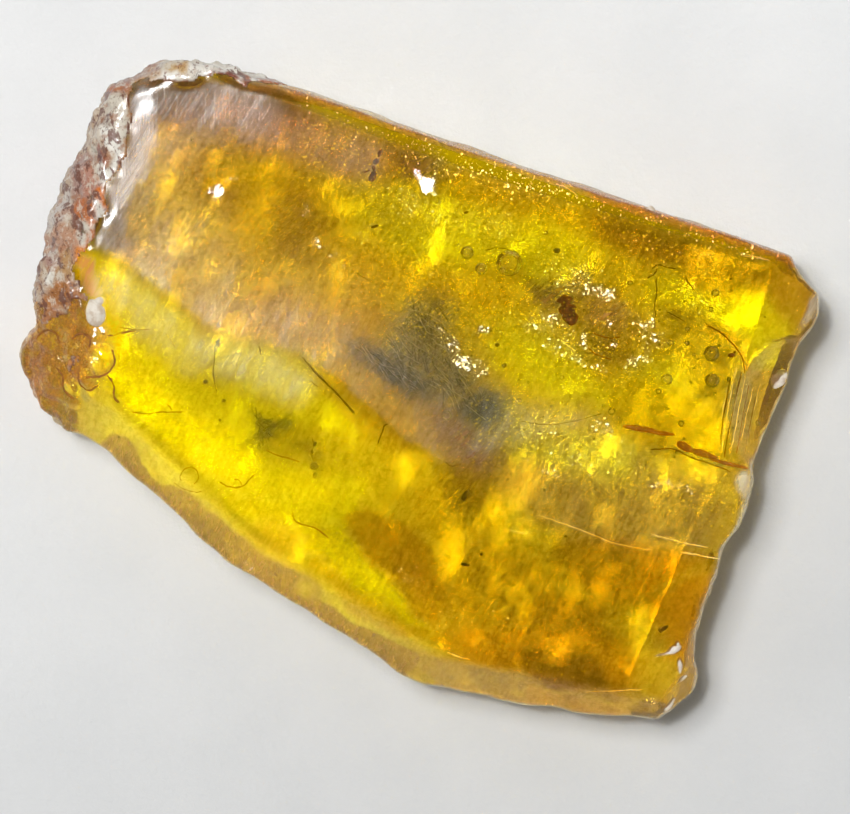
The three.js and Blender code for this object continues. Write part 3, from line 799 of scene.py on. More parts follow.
def lay_skin(brush):
    """The skin's colours: cream, grey and mauve, with red-brown and rust along its cracks."""
    brush.prime("skin", rgb(176, 150, 122))

    def smear(path, width, soft, colour, strength=1.0):
        brush.stroke("skin", path, width, soft, colour, strength)

    cream, pale = rgb(196, 186, 168), rgb(222, 216, 204)
    mauve, red_brown, rust = rgb(158, 124, 110), rgb(132, 62, 30), rgb(166, 92, 40)
    orange, dark = rgb(206, 120, 22), rgb(86, 34, 18)

    # the strip along the sawn edge
    smear([(-13.8, 15.9), (-11.0, 16.0), (-8.6, 15.6)], 1.0, 0.5, cream)
    smear([(-12.4, 16.1), (-11.6, 16.1)], 0.3, 0.3, rgb(186, 150, 96))
    smear([(-11.3, 16.0), (-9.2, 15.9)], 0.5, 0.2, pale)
    smear([(-13.4, 15.6), (-12.2, 15.7)], 0.2, 0.3, pale)
    smear([(-10.4, 15.75), (-9.3, 15.75), (-8.7, 15.3)], 0.16, 0.16, red_brown)
    smear([(-8.6, 15.5), (-7.4, 15.3), (-6.4, 15.2)], 0.35, 0.3, rust)
    smear([(-9.05, 15.45), (-8.75, 15.6)], 0.16, 0.14, pale)
    smear([(-8.0, 15.35), (-7.7, 15.45)], 0.14, 0.14, pale)
    # the corner
    smear([(-14.3, 15.6), (-13.4, 15.9)], 0.5, 0.4, rgb(190, 156, 120))
    smear([(-15.5, 15.2), (-14.2, 15.8), (-13.2, 16.3)], 0.3, 0.3, mauve)
    smear([(-15.3, 15.3), (-14.7, 15.2)], 0.3, 0.25, rust)
    # down the left side
    smear([(-15.3, 14.3), (-15.2, 13.3), (-15.0, 12.6)], 0.9, 0.4, cream)
    smear([(-15.9, 14.2), (-16.1, 13.2), (-16.3, 12.4)], 0.5, 0.4, rgb(190, 170, 146))
    smear([(-15.7, 12.9), (-15.4, 12.3)], 0.4, 0.25, pale)
    smear([(-15.75, 13.6), (-15.65, 13.3)], 0.12, 0.12, dark)
    smear([(-15.5, 13.8), (-15.5, 13.65)], 0.08, 0.1, dark)
    smear([(-15.1, 12.2), (-15.0, 11.6), (-15.3, 10.9), (-15.9, 10.3)], 0.26, 0.2, pale)
    smear([(-16.2, 12.0), (-16.0, 11.6), (-15.7, 11.5)], 0.3, 0.2, red_brown)
    smear([(-16.1, 11.75), (-16.0, 11.55)], 0.14, 0.14, dark)
    smear([(-15.95, 11.2), (-15.8, 10.9)], 0.28, 0.16, pale)
    smear([(-16.6, 12.2), (-16.5, 11.6), (-16.2, 11.1)], 0.2, 0.2, cream)
    smear([(-17.2, 11.4), (-17.5, 10.6), (-17.0, 10.0)], 0.9, 0.5, mauve)
    smear([(-16.6, 10.6), (-16.4, 10.3)], 0.6, 0.4, rgb(170, 116, 92))
    smear([(-18.2, 9.4), (-17.7, 8.8)], 0.6, 0.5, rgb(186, 172, 160))
    smear([(-18.4, 8.9), (-18.3, 8.4)], 0.4, 0.2, pale)
    smear([(-16.0, 9.9), (-15.65, 9.3), (-15.8, 8.6)], 0.36, 0.2, rgb(196, 104, 22))
    smear([(-16.2, 9.2), (-16.0, 8.9)], 0.5, 0.2, pale)
    smear([(-16.8, 9.2), (-16.6, 8.4), (-16.7, 7.4)], 0.7, 0.3, rgb(176, 96, 34))
    smear([(-16.75, 8.2), (-16.85, 7.4)], 0.26, 0.2, cream)
    smear([(-17.9, 7.8), (-17.6, 7.0)], 0.8, 0.4, rgb(174, 130, 100))
    smear([(-18.5, 8.2), (-18.8, 7.0)], 0.4, 0.4, mauve)
    smear([(-18.45, 6.6), (-18.55, 5.9)], 0.42, 0.16, pale)
    smear([(-18.75, 6.7), (-18.8, 6.0)], 0.05, 0.06, dark)
    smear([(-17.9, 6.5), (-17.5, 6.1)], 0.5, 0.3, rgb(170, 130, 80))
    smear([(-16.9, 6.9), (-16.7, 6.1)], 0.4, 0.3, orange)
    smear([(-18.6, 5.2), (-18.2, 4.9)], 0.5, 0.4, rgb(176, 146, 120))
    smear([(-17.8, 5.2), (-17.2, 4.7), (-18.3, 4.6)], 0.6, 0.4, rgb(160, 100, 40))
    # the crust corner
    smear([(-18.8, 3.8), (-17.8, 3.2)], 0.8, 0.5, rgb(164, 108, 60))
    smear([(-19.3, 2.4), (-19.2, 1.0)], 0.8, 0.5, rgb(168, 104, 44))
    smear([(-18.2, 2.4), (-17.6, 1.8)], 0.6, 0.4, rgb(188, 120, 20))
    smear([(-18.4, 0.4), (-17.6, -0.6)], 0.9, 0.5, rgb(158, 104, 70))
    smear([(-16.9, 2.8), (-16.6, 2.4)], 0.4, 0.2, dark)
    smear([(-17.1, 1.2), (-16.9, 0.8)], 0.3, 0.2, dark)
    smear([(-16.6, 0.4), (-16.4, 0.2)], 0.2, 0.2, dark)
    # orange-brown line where the skin meets the polish
    smear(RIND_BORDER[10:20], 0.14, 0.12, rgb(170, 110, 44))
    smear(RIND_BORDER[2:9], 0.12, 0.10, rgb(140, 78, 50))


def skin_material():
    """A dull crust with paler and darker veins, lightly glazed."""
    paint = Paint("weathered_skin")
    blotches = paint.clouds(0.7, 5.0, roughness=0.65)
    grain = paint.clouds(0.2, 4.0, roughness=0.7)
    veins = paint.clouds(0.45, 3.0, turn=20.0, stretch=(1.0, 0.45, 0.6), roughness=0.6)
    colour = paint.blend(blotches.above(0.56, 0.04) * 0.6, paint.brushed("skin"), rgb(150, 92, 48))
    colour = paint.blend(veins.above(0.60, 0.04) * 0.6, colour, rgb(206, 196, 178))
    colour = paint.blend((1.0 - veins).above(0.575, 0.03) * 0.85, colour, rgb(98, 48, 26))
    colour = paint.blend(grain.above(0.60, 0.05) * 0.3, colour, rgb(222, 216, 200))
    colour = paint.blend((1.0 - grain).above(0.59, 0.04) * 0.6, colour, rgb(96, 52, 28))
    relief = paint.bump(blotches * 0.5 + veins * 0.4 + grain * 0.25, 0.10)
    surface = paint.principled(
        Base_Color=colour, Roughness=(0.3 + 0.3 * grain), IOR=1.5, Normal=relief,
        Coat_Weight=0.5, Coat_Roughness=0.12,
    )
    return paint.finish(surface)


skin = skin_shell()
crust_brush = Brush(skin, shake=0.10, shake_size=0.4)
lay_skin(crust_brush)
crust_brush.store()
skin.data.materials.append(skin_material())
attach(skin, "root")


# --------------------------------------------------------- what is sealed inside

random.seed(7)


CLEAR_ABOVE = 5.0                      # the height over the top from which it is probed


def probe(x, y):
    """Looks straight down on a place in plan: whether the piece is there, and where its top is."""
    start = Vector((x, y, TOP + CLEAR_ABOVE)) * MM
    return body.ray_cast(start, Vector((0.0, 0.0, -1.0)))[:2]


def top_at(x, y):
    """Height of the top, in millimetres, above a place in plan."""
    hit, place = probe(x, y)
    return place.z / MM if hit else TOP


def under(x, y, depth):
    """The place this many millimetres below the top."""
    return (x, y, top_at(x, y) - depth)


def new_mesh(name, points, faces):
    """A new piece from points in millimetres and faces."""
    mesh = bpy.data.meshes.new(name)
    mesh.from_pydata([tuple(c * MM for c in p) for p in points], [], faces)
    mesh.update()
    piece = bpy.data.objects.new(name, mesh)
    bpy.context.scene.collection.objects.link(piece)
    return piece


def model_shape(kind, **settings):
    """Points and faces of a small pattern shape, one millimetre in radius."""
    adders = {"ico": bpy.ops.mesh.primitive_ico_sphere_add, "ball": bpy.ops.mesh.primitive_uv_sphere_add}
    adders[kind](radius=1.0, location=(0.0, 0.0, 0.0), **settings)
    pattern = bpy.context.object
    points = np.array([v.co[:] for v in pattern.data.vertices])
    faces = [list(f.vertices) for f in pattern.data.polygons]
    bpy.data.objects.remove(pattern)
    return points, faces


def in_fixed_order(points, faces):
    """The same pattern with its points and faces sorted, because a ball's come in any order."""
    order = np.lexsort(points.round(5).T)
    rank = np.argsort(order).tolist()
    ranked = [[rank[i] for i in face] for face in faces]
    turned = [face[face.index(min(face)):] + face[:face.index(min(face))] for face in ranked]
    return points[order], sorted(turned)


def scatter(name, pattern, places):
    """Joins copies of a pattern into one piece. A place is (middle, half-axes, turn)."""
    shape, sides = pattern
    points, faces = [], []
    for middle, axes, turn in places:
        spin = np.array(turn.to_matrix())
        copied = (shape * np.array(axes)) @ spin.T + np.array(middle)
        faces.extend([[i + len(points) for i in side] for side in sides])
        points.extend(copied.tolist())
    return new_mesh(name, points, faces)


def finish_piece(piece, material, smooth=True):
    """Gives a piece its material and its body."""
    piece.data.materials.append(material)
    pick(piece)
    if smooth:
        bpy.ops.object.shade_smooth()
    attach(piece, "root")
    return piece


def random_turn(tilt):
    """A turn that leans a flat flake up to this many degrees away from level."""
    lean = math.radians(random.uniform(0.3, 1.0) * tilt)
    return Euler((lean, 0.0, random.uniform(0.0, math.tau)))


FLAKE_SCALE = 0.44
FLAKE_FLATNESS = 0.25


def spread(path, width, count, sizes, depths, tilt=40.0, long=1.0, lowest=TOP - 1.2):
    """Flakes strewn along a path: width across it, sizes and depths as (least, most)."""
    places = []
    for _ in range(count):
        part = random.random() * (len(path) - 1)
        step = min(int(part), len(path) - 2)
        start, end = Vector(path[step]), Vector(path[step + 1])
        spot = start.lerp(end, part - step)
        x = spot.x + random.gauss(0.0, width * 0.7)
        y = spot.y + random.gauss(0.0, width * 0.7)
        size = (sizes[0] + (sizes[1] - sizes[0]) * random.random() ** 3.0) * FLAKE_SCALE
        depth = random.uniform(*depths)
        axes = (size * random.uniform(1.0, 1.0 + long), size, size * FLAKE_FLATNESS)
        if probe(x, y)[0] and top_at(x, y) > lowest:
            places.append((under(x, y, depth), axes, random_turn(tilt)))
    return places


AIR_BUBBLES = [
    (2.3, 6.9, 0.33), (3.0, 6.1, 0.30), (4.4, 6.4, 0.66), (4.05, 6.0, 0.17), (14.4, 1.9, 0.40),
    (14.45, 0.55, 0.36), (12.2, 0.6, 0.28), (14.6, 4.9, 0.20), (14.4, 4.1, 0.14), (13.2, 3.1, 0.13),
    (13.2, 2.4, 0.13), (12.4, 2.4, 0.16), (7.0, 0.7, 0.13), (1.2, 1.9, 0.12), (-10.7, 0.5, 0.12),
    (11.8, 0.0, 0.14), (12.9, -1.6, 0.16), (9.5, -1.0, 0.18), (16.6, -1.6, 0.16), (15.3, 0.6, 0.12),
    (4.9, -0.5, 0.16), (1.3, -1.2, 0.25), (3.0, 4.2, 0.10), (10.4, 5.4, 0.14), (6.2, 7.9, 0.12),
]


SMALL_BUBBLES = 170
BUBBLE_FLATNESS = 0.8


def bubble_places():
    """The large bubbles where they are, and small ones strewn over the right-hand half."""
    large, small = [], []
    for x, y, radius in AIR_BUBBLES:
        depth = radius + 0.5 + random.random() * 0.9
        large.append((under(x, y, depth), (radius, radius, radius * BUBBLE_FLATNESS), Euler()))
    for _ in range(SMALL_BUBBLES):
        x, y = random.uniform(0.0, 15.5), random.gauss(2.2, 3.6)
        if y > 9.5 - 0.35 * x or y < -5.0:      # they keep clear of the sawn edge and the front
            continue
        radius = random.uniform(0.03, 0.085)
        small.append((under(x, y, random.uniform(0.3, 3.0)), (radius,) * 3, Euler()))
    return large, small


AIR_IN_AMBER = 0.65                    # the IOR of air as seen from inside amber


def bubble_material():
    """A bubble's wall, from the resin into the air."""
    paint = Paint("air_bubble")
    film = paint.clouds(0.2, 2.0)
    tint = paint.blend(film, (0.96, 0.96, 0.92, 1.0), WHITE)
    surface = paint.principled(Base_Color=tint, Roughness=0.0, IOR=AIR_IN_AMBER, Transmission_Weight=1.0)
    return paint.finish(surface)


large_bubbles, small_bubbles = bubble_places()
BUBBLE = bubble_material()
finish_piece(scatter("air_bubbles", model_shape("ico", subdivisions=4), large_bubbles), BUBBLE)
tiny_ball = in_fixed_order(*model_shape("ball", segments=8, ring_count=6))
finish_piece(scatter("tiny_air_bubbles", tiny_ball, small_bubbles), BUBBLE)


def spangle_material(name, pale, deep, painted_glow):
    """Flat stress discs whose flash is painted: they glow by emission, as painted glints."""
    paint = Paint(name)
    paint.material.cycles.emission_sampling = "NONE"
    patchy = paint.clouds(0.25, 2.0)
    flicker = paint.clouds(0.14, 1.0)
    shade = paint.blend(patchy.above(0.5, 0.2), pale, deep)
    painted_light = paint.blend(flicker.above(0.52, 0.08), rgb(30, 24, 8), shade)
    surface = paint.principled(
        Base_Color=shade, Roughness=0.25, IOR=1.8, Emission_Color=painted_light, Emission_Strength=painted_glow,
    )
    return paint.finish(surface)


FLAKE = model_shape("ico", subdivisions=1)

# All spangles glow by emission: real stress discs, with painted glints.
WHITE_SPANGLES = (
    # the white fan beside the dark veil
    spread([(1.0, 2.9), (1.6, 2.2), (2.0, 1.5), (2.6, 1.1), (3.2, 0.9)], 0.35, 130, (0.03, 0.13), (0.15, 0.5))
    + spread([(1.9, 1.7), (2.3, 1.2)], 0.25, 30, (0.08, 0.24), (0.15, 0.4))
    + spread([(2.8, 3.0), (3.2, 3.1)], 0.25, 22, (0.04, 0.14), (0.2, 0.6))
    # the ring of spangles round the hollow
    + spread([(5.3, 3.2), (6.2, 3.5), (6.8, 3.3)], 0.45, 60, (0.03, 0.15), (0.2, 0.8))
    + spread([(6.2, 2.4), (6.9, 2.1), (7.6, 1.7), (8.4, 1.2), (9.4, 1.0)], 0.2, 60, (0.03, 0.15), (0.2, 0.6))
    + spread([(10.2, 1.2), (10.7, 1.6), (11.3, 1.6)], 0.25, 30, (0.04, 0.16), (0.2, 0.6))
    + spread([(10.5, 3.1), (11.3, 3.4), (11.6, 2.8), (11.4, 2.3)], 0.35, 46, (0.04, 0.2), (0.2, 0.6))
    + spread([(8.2, 5.2), (9.0, 4.9), (9.6, 4.75)], 0.22, 70, (0.04, 0.2), (0.15, 0.5))
    + spread([(6.6, 5.4), (7.4, 5.6), (8.2, 5.5)], 0.5, 90, (0.02, 0.08), (0.2, 0.8))
    + spread([(6.3, 6.2), (7.4, 6.4), (8.4, 6.3)], 0.6, 50, (0.02, 0.07), (0.2, 0.8))
    # the painted highlight by the sawn edge: a cluster of glowing flakes
    + spread([(-0.2, 10.9), (0.1, 10.35), (0.5, 9.9)], 0.13, 70, (0.08, 0.3), (0.05, 0.3), 20.0)
    + spread([(-0.2, 9.4), (-1.4, 9.6), (0.8, 8.6)], 0.6, 60, (0.02, 0.08), (0.1, 0.6))
    + spread([(-10.55, 9.95), (-10.1, 10.2)], 0.09, 26, (0.06, 0.16), (0.05, 0.2), 20.0)
    + spread([(-9.7, 10.5), (-9.2, 10.6)], 0.12, 14, (0.03, 0.08), (0.1, 0.4))
    # the glittering arc in the gold
    + spread([(-5.6, 9.4), (-5.9, 8.7)], 0.15, 14, (0.03, 0.1), (0.1, 0.5))
    + spread([(-5.3, 7.5), (-5.0, 7.2)], 0.16, 26, (0.04, 0.14), (0.1, 0.5))
    + spread([(-4.7, 6.9), (-4.2, 6.4), (-3.8, 5.8), (-3.0, 5.4)], 0.3, 40, (0.02, 0.09), (0.1, 0.6))
    # pale glitter in the lower satin
    + spread([(5.5, -2.0), (7.8, -3.2), (8.6, -3.7)], 0.6, 60, (0.02, 0.11), (0.2, 0.8))
    + spread([(8.6, -1.5), (9.6, -2.1)], 0.35, 46, (0.03, 0.12), (0.2, 0.6))
    + spread([(5.9, -3.9), (6.9, -4.1)], 0.2, 24, (0.03, 0.11), (0.2, 0.6))
    + spread([(11.4, -4.7), (12.4, -4.6), (13.8, -4.9)], 0.2, 40, (0.03, 0.12), (0.2, 0.6))
    + spread([(-0.9, -8.9), (-0.2, -9.6)], 0.4, 40, (0.02, 0.08), (0.3, 0.9))
    + spread([(-11.2, -7.2), (-10.9, -7.5)], 0.06, 8, (0.04, 0.09), (0.05, 0.2), lowest=0.0)
    + spread([(-9.0, -8.3), (-8.4, -8.8)], 0.08, 10, (0.04, 0.09), (0.05, 0.2), lowest=0.0)
    + spread([(-4.1, -12.1), (-4.0, -12.1)], 0.04, 4, (0.05, 0.09), (0.05, 0.1), lowest=0.0)
    + spread([(-18.1, 1.7), (-17.9, 1.6)], 0.12, 12, (0.05, 0.13), (0.0, 0.1), lowest=0.0)
    + spread([(-16.3, 1.6), (-16.2, 1.55)], 0.12, 12, (0.05, 0.14), (0.0, 0.1), lowest=0.0)
    + spread([(6.5, 3.9), (7.6, 3.0)], 0.3, 16, (0.03, 0.1), (0.2, 0.6))
    + spread([(9.3, 3.4), (9.4, 3.4)], 0.12, 8, (0.05, 0.14), (0.2, 0.5))
    + spread([(8.1, 2.8), (8.1, 2.2)], 0.16, 16, (0.05, 0.14), (0.2, 0.5))
    + spread([(9.5, 2.3), (9.7, 2.3)], 0.1, 7, (0.05, 0.14), (0.2, 0.5))
)

GOLD_SPANGLES = (
    spread([(1.4, 11.2), (3.6, 10.6), (5.6, 10.2), (7.4, 9.7)], 0.6, 300, (0.03, 0.12), (0.2, 1.4))
    + spread([(-6.4, 14.0), (-4.0, 13.0), (-1.0, 12.2), (1.5, 11.3)], 0.7, 220, (0.03, 0.08), (0.2, 1.2))
    + spread([(8.2, 9.6), (11.0, 8.8), (14.0, 7.9), (17.4, 6.7)], 0.35, 200, (0.03, 0.12), (0.2, 1.2))
    + spread([(9.0, 8.2), (12.6, 7.0), (15.0, 6.2)], 0.8, 110, (0.03, 0.08), (0.2, 1.5))
    + spread([(0.6, 8.6), (3.6, 8.4), (4.6, 8.0)], 0.7, 120, (0.03, 0.08), (0.2, 1.0))
    + spread([(-3.0, 9.0), (0.0, 7.0), (3.0, 5.4)], 1.8, 260, (0.025, 0.06), (0.2, 2.0))
    + spread([(5.0, 3.4), (9.0, 2.6), (13.0, 3.4)], 1.6, 380, (0.025, 0.07), (0.2, 1.8))
    + spread([(12.0, 5.8), (14.4, 4.9), (14.2, 4.0)], 0.6, 50, (0.02, 0.09), (0.2, 1.0))
    + spread([(4.0, -1.0), (8.0, -2.6), (12.0, -4.6)], 1.0, 300, (0.025, 0.07), (0.2, 1.2))
    + spread([(3.0, -11.4), (6.4, -12.0), (9.0, -12.9)], 0.5, 34, (0.02, 0.08), (0.2, 1.0))
    + spread([(-1.0, -8.6), (1.0, -10.6), (1.8, -12.0)], 0.7, 50, (0.015, 0.06), (0.2, 1.0))
    + spread([(16.0, 0.8), (16.6, -1.5), (16.2, -3.4)], 0.4, 30, (0.02, 0.08), (0.1, 0.6))
    + spread([(-17.6, 3.4), (-17.0, 1.6), (-17.2, 0.4)], 0.6, 70, (0.02, 0.1), (0.0, 0.5), lowest=0.0)
    + spread([(18.0, 5.6), (18.8, 4.2), (17.8, 2.0)], 0.4, 24, (0.02, 0.09), (0.1, 0.6))
    + spread([(-13.0, 9.0), (-6.0, 6.0), (-3.0, 3.0)], 2.4, 260, (0.02, 0.045), (0.1, 1.0))
    + spread([(2.0, -7.2), (3.6, -8.2)], 0.5, 30, (0.015, 0.05), (0.2, 1.0))
    + spread([(11.4, -15.2), (11.5, -15.5)], 0.14, 12, (0.04, 0.12), (0.1, 0.3), lowest=0.0)
    + spread([(6.0, -15.6), (6.6, -15.7)], 0.1, 14, (0.05, 0.14), (0.1, 0.3), lowest=0.0)
)

# The spangles' emission is painted glints.
WHITE_FLASH = spangle_material("white_spangle", rgb(226, 246, 255), rgb(240, 226, 160), 3.0)
GOLD_FLASH = spangle_material("gold_spangle", rgb(250, 248, 190), rgb(240, 220, 96), 3.4)
finish_piece(scatter("white_spangles", FLAKE, WHITE_SPANGLES), WHITE_FLASH, smooth=False)
finish_piece(scatter("gold_spangles", FLAKE, GOLD_SPANGLES), GOLD_FLASH, smooth=False)


def along(start, end, share):
    """The place this share of the way from one place in plan to another."""
    return tuple((1.0 - share) * a + share * b for a, b in zip(start, end))


def rounded(places):
    """The same line with its corners cut off twice."""
    for _ in range(2):
        cut = [places[0]]
        for start, end in zip(places[:-1], places[1:]):
            cut += [along(start, end, 0.25), along(start, end, 0.75)]
        places = cut + [places[-1]]
    return places


THREAD_STEP = 0.3
THREAD_JITTER = 0.02


def thread(name, strands, thickness):
    """Thin cracks or fibres. Each strand is its depth, its width and its places in plan."""
    curve = bpy.data.curves.new(name, "CURVE")
    curve.dimensions = "3D"
    curve.bevel_depth = thickness * MM
    curve.bevel_resolution = 1
    curve.use_fill_caps = True
    for depth, width, places in strands:
        fine = []
        places = rounded(places)
        for start, end in zip(places[:-1], places[1:]):
            steps = max(1, int(math.dist(start, end) / THREAD_STEP))
            fine += [along(start, end, k / steps) for k in range(steps)]
        fine.append(places[-1])
        spline = curve.splines.new("POLY")
        spline.points.add(len(fine) - 1)
        for k, (x, y) in enumerate(fine):
            jitter = THREAD_JITTER if 0 < k < len(fine) - 1 else 0.0
            x += random.uniform(-jitter, jitter)
            y += random.uniform(-jitter, jitter)
            spline.points[k].co = Vector((*under(x, y, depth), 0.0)) * MM
            ends = min(k, len(fine) - 1 - k) / 2.0
            spline.points[k].radius = width * min(1.0, 0.35 + ends) * random.uniform(0.7, 1.2)
    piece = bpy.data.objects.new(name, curve)
    bpy.context.scene.collection.objects.link(piece)
    pick(piece)
    bpy.ops.object.convert(target="MESH")
    return bpy.context.object


RING_MIDDLE, RING_RADIUS = (-11.5, -4.2), 0.45
RING_MARK = [
    (RING_MIDDLE[0] + RING_RADIUS * math.cos(math.radians(turn)),
     RING_MIDDLE[1] + RING_RADIUS * math.sin(math.radians(turn)))
    for turn in range(-60, 231, 30)
]
# each crack: its depth, its width against the others, and its places in plan
DARK_CRACKS = [
    (0.10, 1.3, [(-5.9, 1.7), (-5.4, 1.1), (-4.9, 0.6), (-4.1, -0.2), (-3.3, -1.1)]),
    (0.15, 0.7, [(-5.5, 0.5), (-5.1, 0.2)]),
    (0.20, 0.9, [(-10.2, 2.4), (-10.3, 1.4), (-10.35, 0.8), (-10.15, 0.0)]),
    (0.10, 1.0, [(-8.05, 2.3), (-7.95, 1.8)]),
    (0.15, 0.8, [(-1.8, -1.7), (-2.0, -2.2), (-2.15, -2.6)]),
    (0.15, 0.8, [(-1.9, -1.75), (-1.6, -1.6)]),
    (0.30, 0.7, [(-5.4, -2.3), (-5.3, -2.7), (-5.5, -3.1), (-5.3, -3.5)]),
    (0.40, 0.7, [(12.2, 4.0), (12.6, 3.75), (13.1, 3.5)]),
    (0.40, 0.9, [(11.7, 5.6), (11.75, 4.8), (11.6, 4.4), (11.7, 3.7)]),
    (0.40, 0.9, [(11.5, 6.1), (11.8, 6.35), (12.2, 6.15), (12.7, 6.1)]),
    (0.40, 1.2, [(11.75, 6.1), (11.6, 5.8), (11.25, 5.65)]),
    (0.40, 0.8, [(13.1, 5.8), (13.3, 5.4), (13.6, 5.0)]),
    (0.30, 0.6, [(5.0, -1.5), (6.4, -1.7), (7.6, -1.5), (9.0, -1.1)]),
    (0.30, 0.6, [(6.8, -2.1), (7.2, -2.4)]),
    (0.30, 0.6, [(3.2, 7.0), (3.9, 7.2), (4.8, 6.9)]),
    (0.60, 0.8, [(1.2, -3.5), (1.5, -3.75), (2.0, -3.6)]),
    (0.50, 0.6, [(-3.2, 5.9), (-2.6, 5.5)]),
    (0.30, 0.8, [(-2.4, 8.2), (-2.1, 8.25)]),
]
BROWN_CRACKS = [
    (0.25, 1.0, [(-14.4, -1.0), (-13.6, -1.15), (-12.9, -1.0), (-12.4, -1.05), (-11.8, -1.0)]),
    (0.25, 0.8, [(-12.6, -0.65), (-12.4, -0.9)]),
    (0.30, 1.2, [(-10.0, -4.5), (-9.6, -4.75), (-9.0, -4.8), (-8.6, -4.5), (-8.3, -4.1)]),
    (0.30, 0.8, [(-9.3, -4.35), (-9.0, -4.4), (-8.9, -4.7)]),
    (0.25, 0.9, [(-6.4, -6.0), (-6.3, -6.5), (-5.7, -6.65), (-5.1, -6.85), (-4.6, -7.3)]),
    (0.20, 0.7, [(-12.3, -4.5), (-11.9, -4.8), (-11.3, -5.0), (-10.9, -4.95)]),
    (0.30, 1.0, [(-7.7, -2.9), (-7.1, -3.2), (-6.6, -3.3), (-6.0, -3.5)]),
    (0.30, 0.8, [(8.3, 2.2), (8.7, 1.8), (9.5, 1.6)]),
    (0.30, 0.9, [(8.6, 2.9), (9.3, 2.6), (9.9, 2.7)]),
    (0.20, 0.9, [(14.2, 3.3), (14.9, 2.95), (15.6, 2.3), (16.05, 1.6), (16.1, 0.9)]),
    (0.20, 0.8, [(11.4, -2.9), (12.6, -2.8), (13.4, -3.3), (14.4, -3.6), (15.4, -4.0)]),
    (0.15, 0.7, [(-15.0, 3.2), (-14.3, 3.05), (-13.4, 3.1)]),
    (0.15, 0.7, [(-12.7, 2.9), (-12.2, 2.2)]),
    (0.08, 0.9, [(15.95, 1.0), (15.6, -0.6), (15.3, -2.0), (15.1, -3.3)]),
    (0.08, 0.8, [(15.4, 0.6), (15.1, -0.9), (14.9, -2.6)]),
    (0.08, 0.9, [(16.35, 0.4), (16.0, -1.4), (15.7, -3.1)]),
    (0.08, 0.7, [(16.7, -0.2), (16.4, -1.6), (16.1, -3.2)]),
    (0.30, 0.7, RING_MARK),
    (0.04, 1.8, [(-16.7, 0.7), (-16.1, 0.7), (-15.5, 0.95), (-15.2, 1.5), (-15.4, 2.1)]),
    (0.04, 1.6, [(-17.1, 1.0), (-17.0, 0.3), (-16.5, 0.0), (-16.1, 0.3)]),
    (0.04, 1.6, [(-15.6, 0.8), (-15.25, 0.3), (-15.3, -0.3), (-15.0, -0.6)]),
    (0.04, 1.4, [(-15.9, 2.9), (-15.4, 2.75), (-14.8, 2.95), (-14.2, 3.0)]),
    (0.02, 2.0, [(-17.4, 2.6), (-17.0, 2.95), (-16.4, 2.7), (-16.5, 2.2)]),
    (0.02, 1.8, [(-18.2, 1.2), (-17.8, 0.7), (-17.9, 0.1), (-17.3, -0.4)]),
    (0.02, 1.6, [(-19.2, 2.6), (-18.8, 3.1), (-18.2, 3.0), (-18.0, 2.4)]),
]
GOLD_CRACKS = [
    (0.15, 1.0, [(5.8, -6.15), (7.0, -6.55), (8.5, -7.1), (9.6, -7.6), (11.5, -7.9)]),
    (0.15, 1.2, [(11.4, -7.1), (12.4, -7.35), (13.2, -7.6), (14.3, -7.75)]),
    (0.12, 1.5, [(12.9, -8.0), (13.8, -8.15), (14.9, -8.35)]),
    (0.15, 0.8, [(4.4, -6.9), (5.4, -7.1)]),
    (0.12, 1.4, [(1.3, -13.0), (1.8, -13.2), (2.4, -13.35)]),
    (0.20, 0.9, [(7.0, 2.5), (7.4, 2.2), (7.7, 2.0)]),
    (0.06, 0.9, [(15.7, 1.2), (15.35, -0.4), (15.1, -1.8), (14.95, -3.0)]),
    (0.06, 1.1, [(16.15, 0.8), (15.8, -1.0), (15.45, -2.8)]),
    (0.06, 0.8, [(15.2, 0.2), (14.95, -1.4)]),
    (0.06, 0.8, [(16.55, 0.2), (16.2, -1.2), (15.95, -2.4)]),
    (0.06, 0.6, [(16.9, 0.4), (16.6, -0.9)]),
    (0.20, 0.9, [(6.7, 10.3), (7.3, 10.1), (7.8, 9.7)]),
    (0.15, 0.9, [(16.0, 6.75), (16.6, 6.7), (17.4, 6.5)]),
    (0.12, 0.8, [(8.2, -14.95), (9.6, -14.9), (11.0, -14.85)]),
]


def stain_material(name, first, second, size=0.3, roughness=0.7, painted_glow=0.0):
    """Dull matter with blotches of a second colour, and a painted glow by emission where one is given."""
    paint = Paint(name)
    blotches = paint.clouds(size, 4.0, roughness=0.65)
    shade = paint.blend(blotches.above(0.5, 0.12), first, second)
    relief = paint.bump(blotches, 0.05)
    sockets = {"Base_Color": shade, "Roughness": roughness, "Normal": relief}
    if painted_glow:
        sockets["Emission_Color"] = shade
        sockets["Emission_Strength"] = painted_glow
        paint.material.cycles.emission_sampling = "NONE"
    return paint.finish(paint.principled(**sockets))


DARK_MATTER = stain_material("dark_debris", rgb(84, 70, 18), rgb(120, 100, 28))
BROWN_MATTER = stain_material("brown_debris", rgb(150, 92, 10), rgb(120, 70, 12))
RED_MATTER = stain_material("red_brown_debris", rgb(96, 42, 12), rgb(142, 76, 26), 0.2)
# The gold crack glints and the orange slivers glow by emission: painted glints and a faint painted glow.
GOLD_MATTER = stain_material("gold_crack_glint", rgb(250, 244, 180), rgb(230, 206, 90), 0.4, 0.4, 0.7)
ORANGE_MATTER = stain_material("orange_resin_sliver", rgb(206, 132, 8), rgb(186, 104, 6), 0.5, 0.4, 0.1)
PALE_MATTER = stain_material("pale_chip", rgb(214, 204, 188), rgb(190, 172, 150), 0.4, 0.5)

finish_piece(thread("dark_cracks", DARK_CRACKS, 0.035), DARK_MATTER)
finish_piece(thread("brown_cracks", BROWN_CRACKS, 0.035), BROWN_MATTER)
finish_piece(thread("gold_cracks", GOLD_CRACKS, 0.022), GOLD_MATTER)


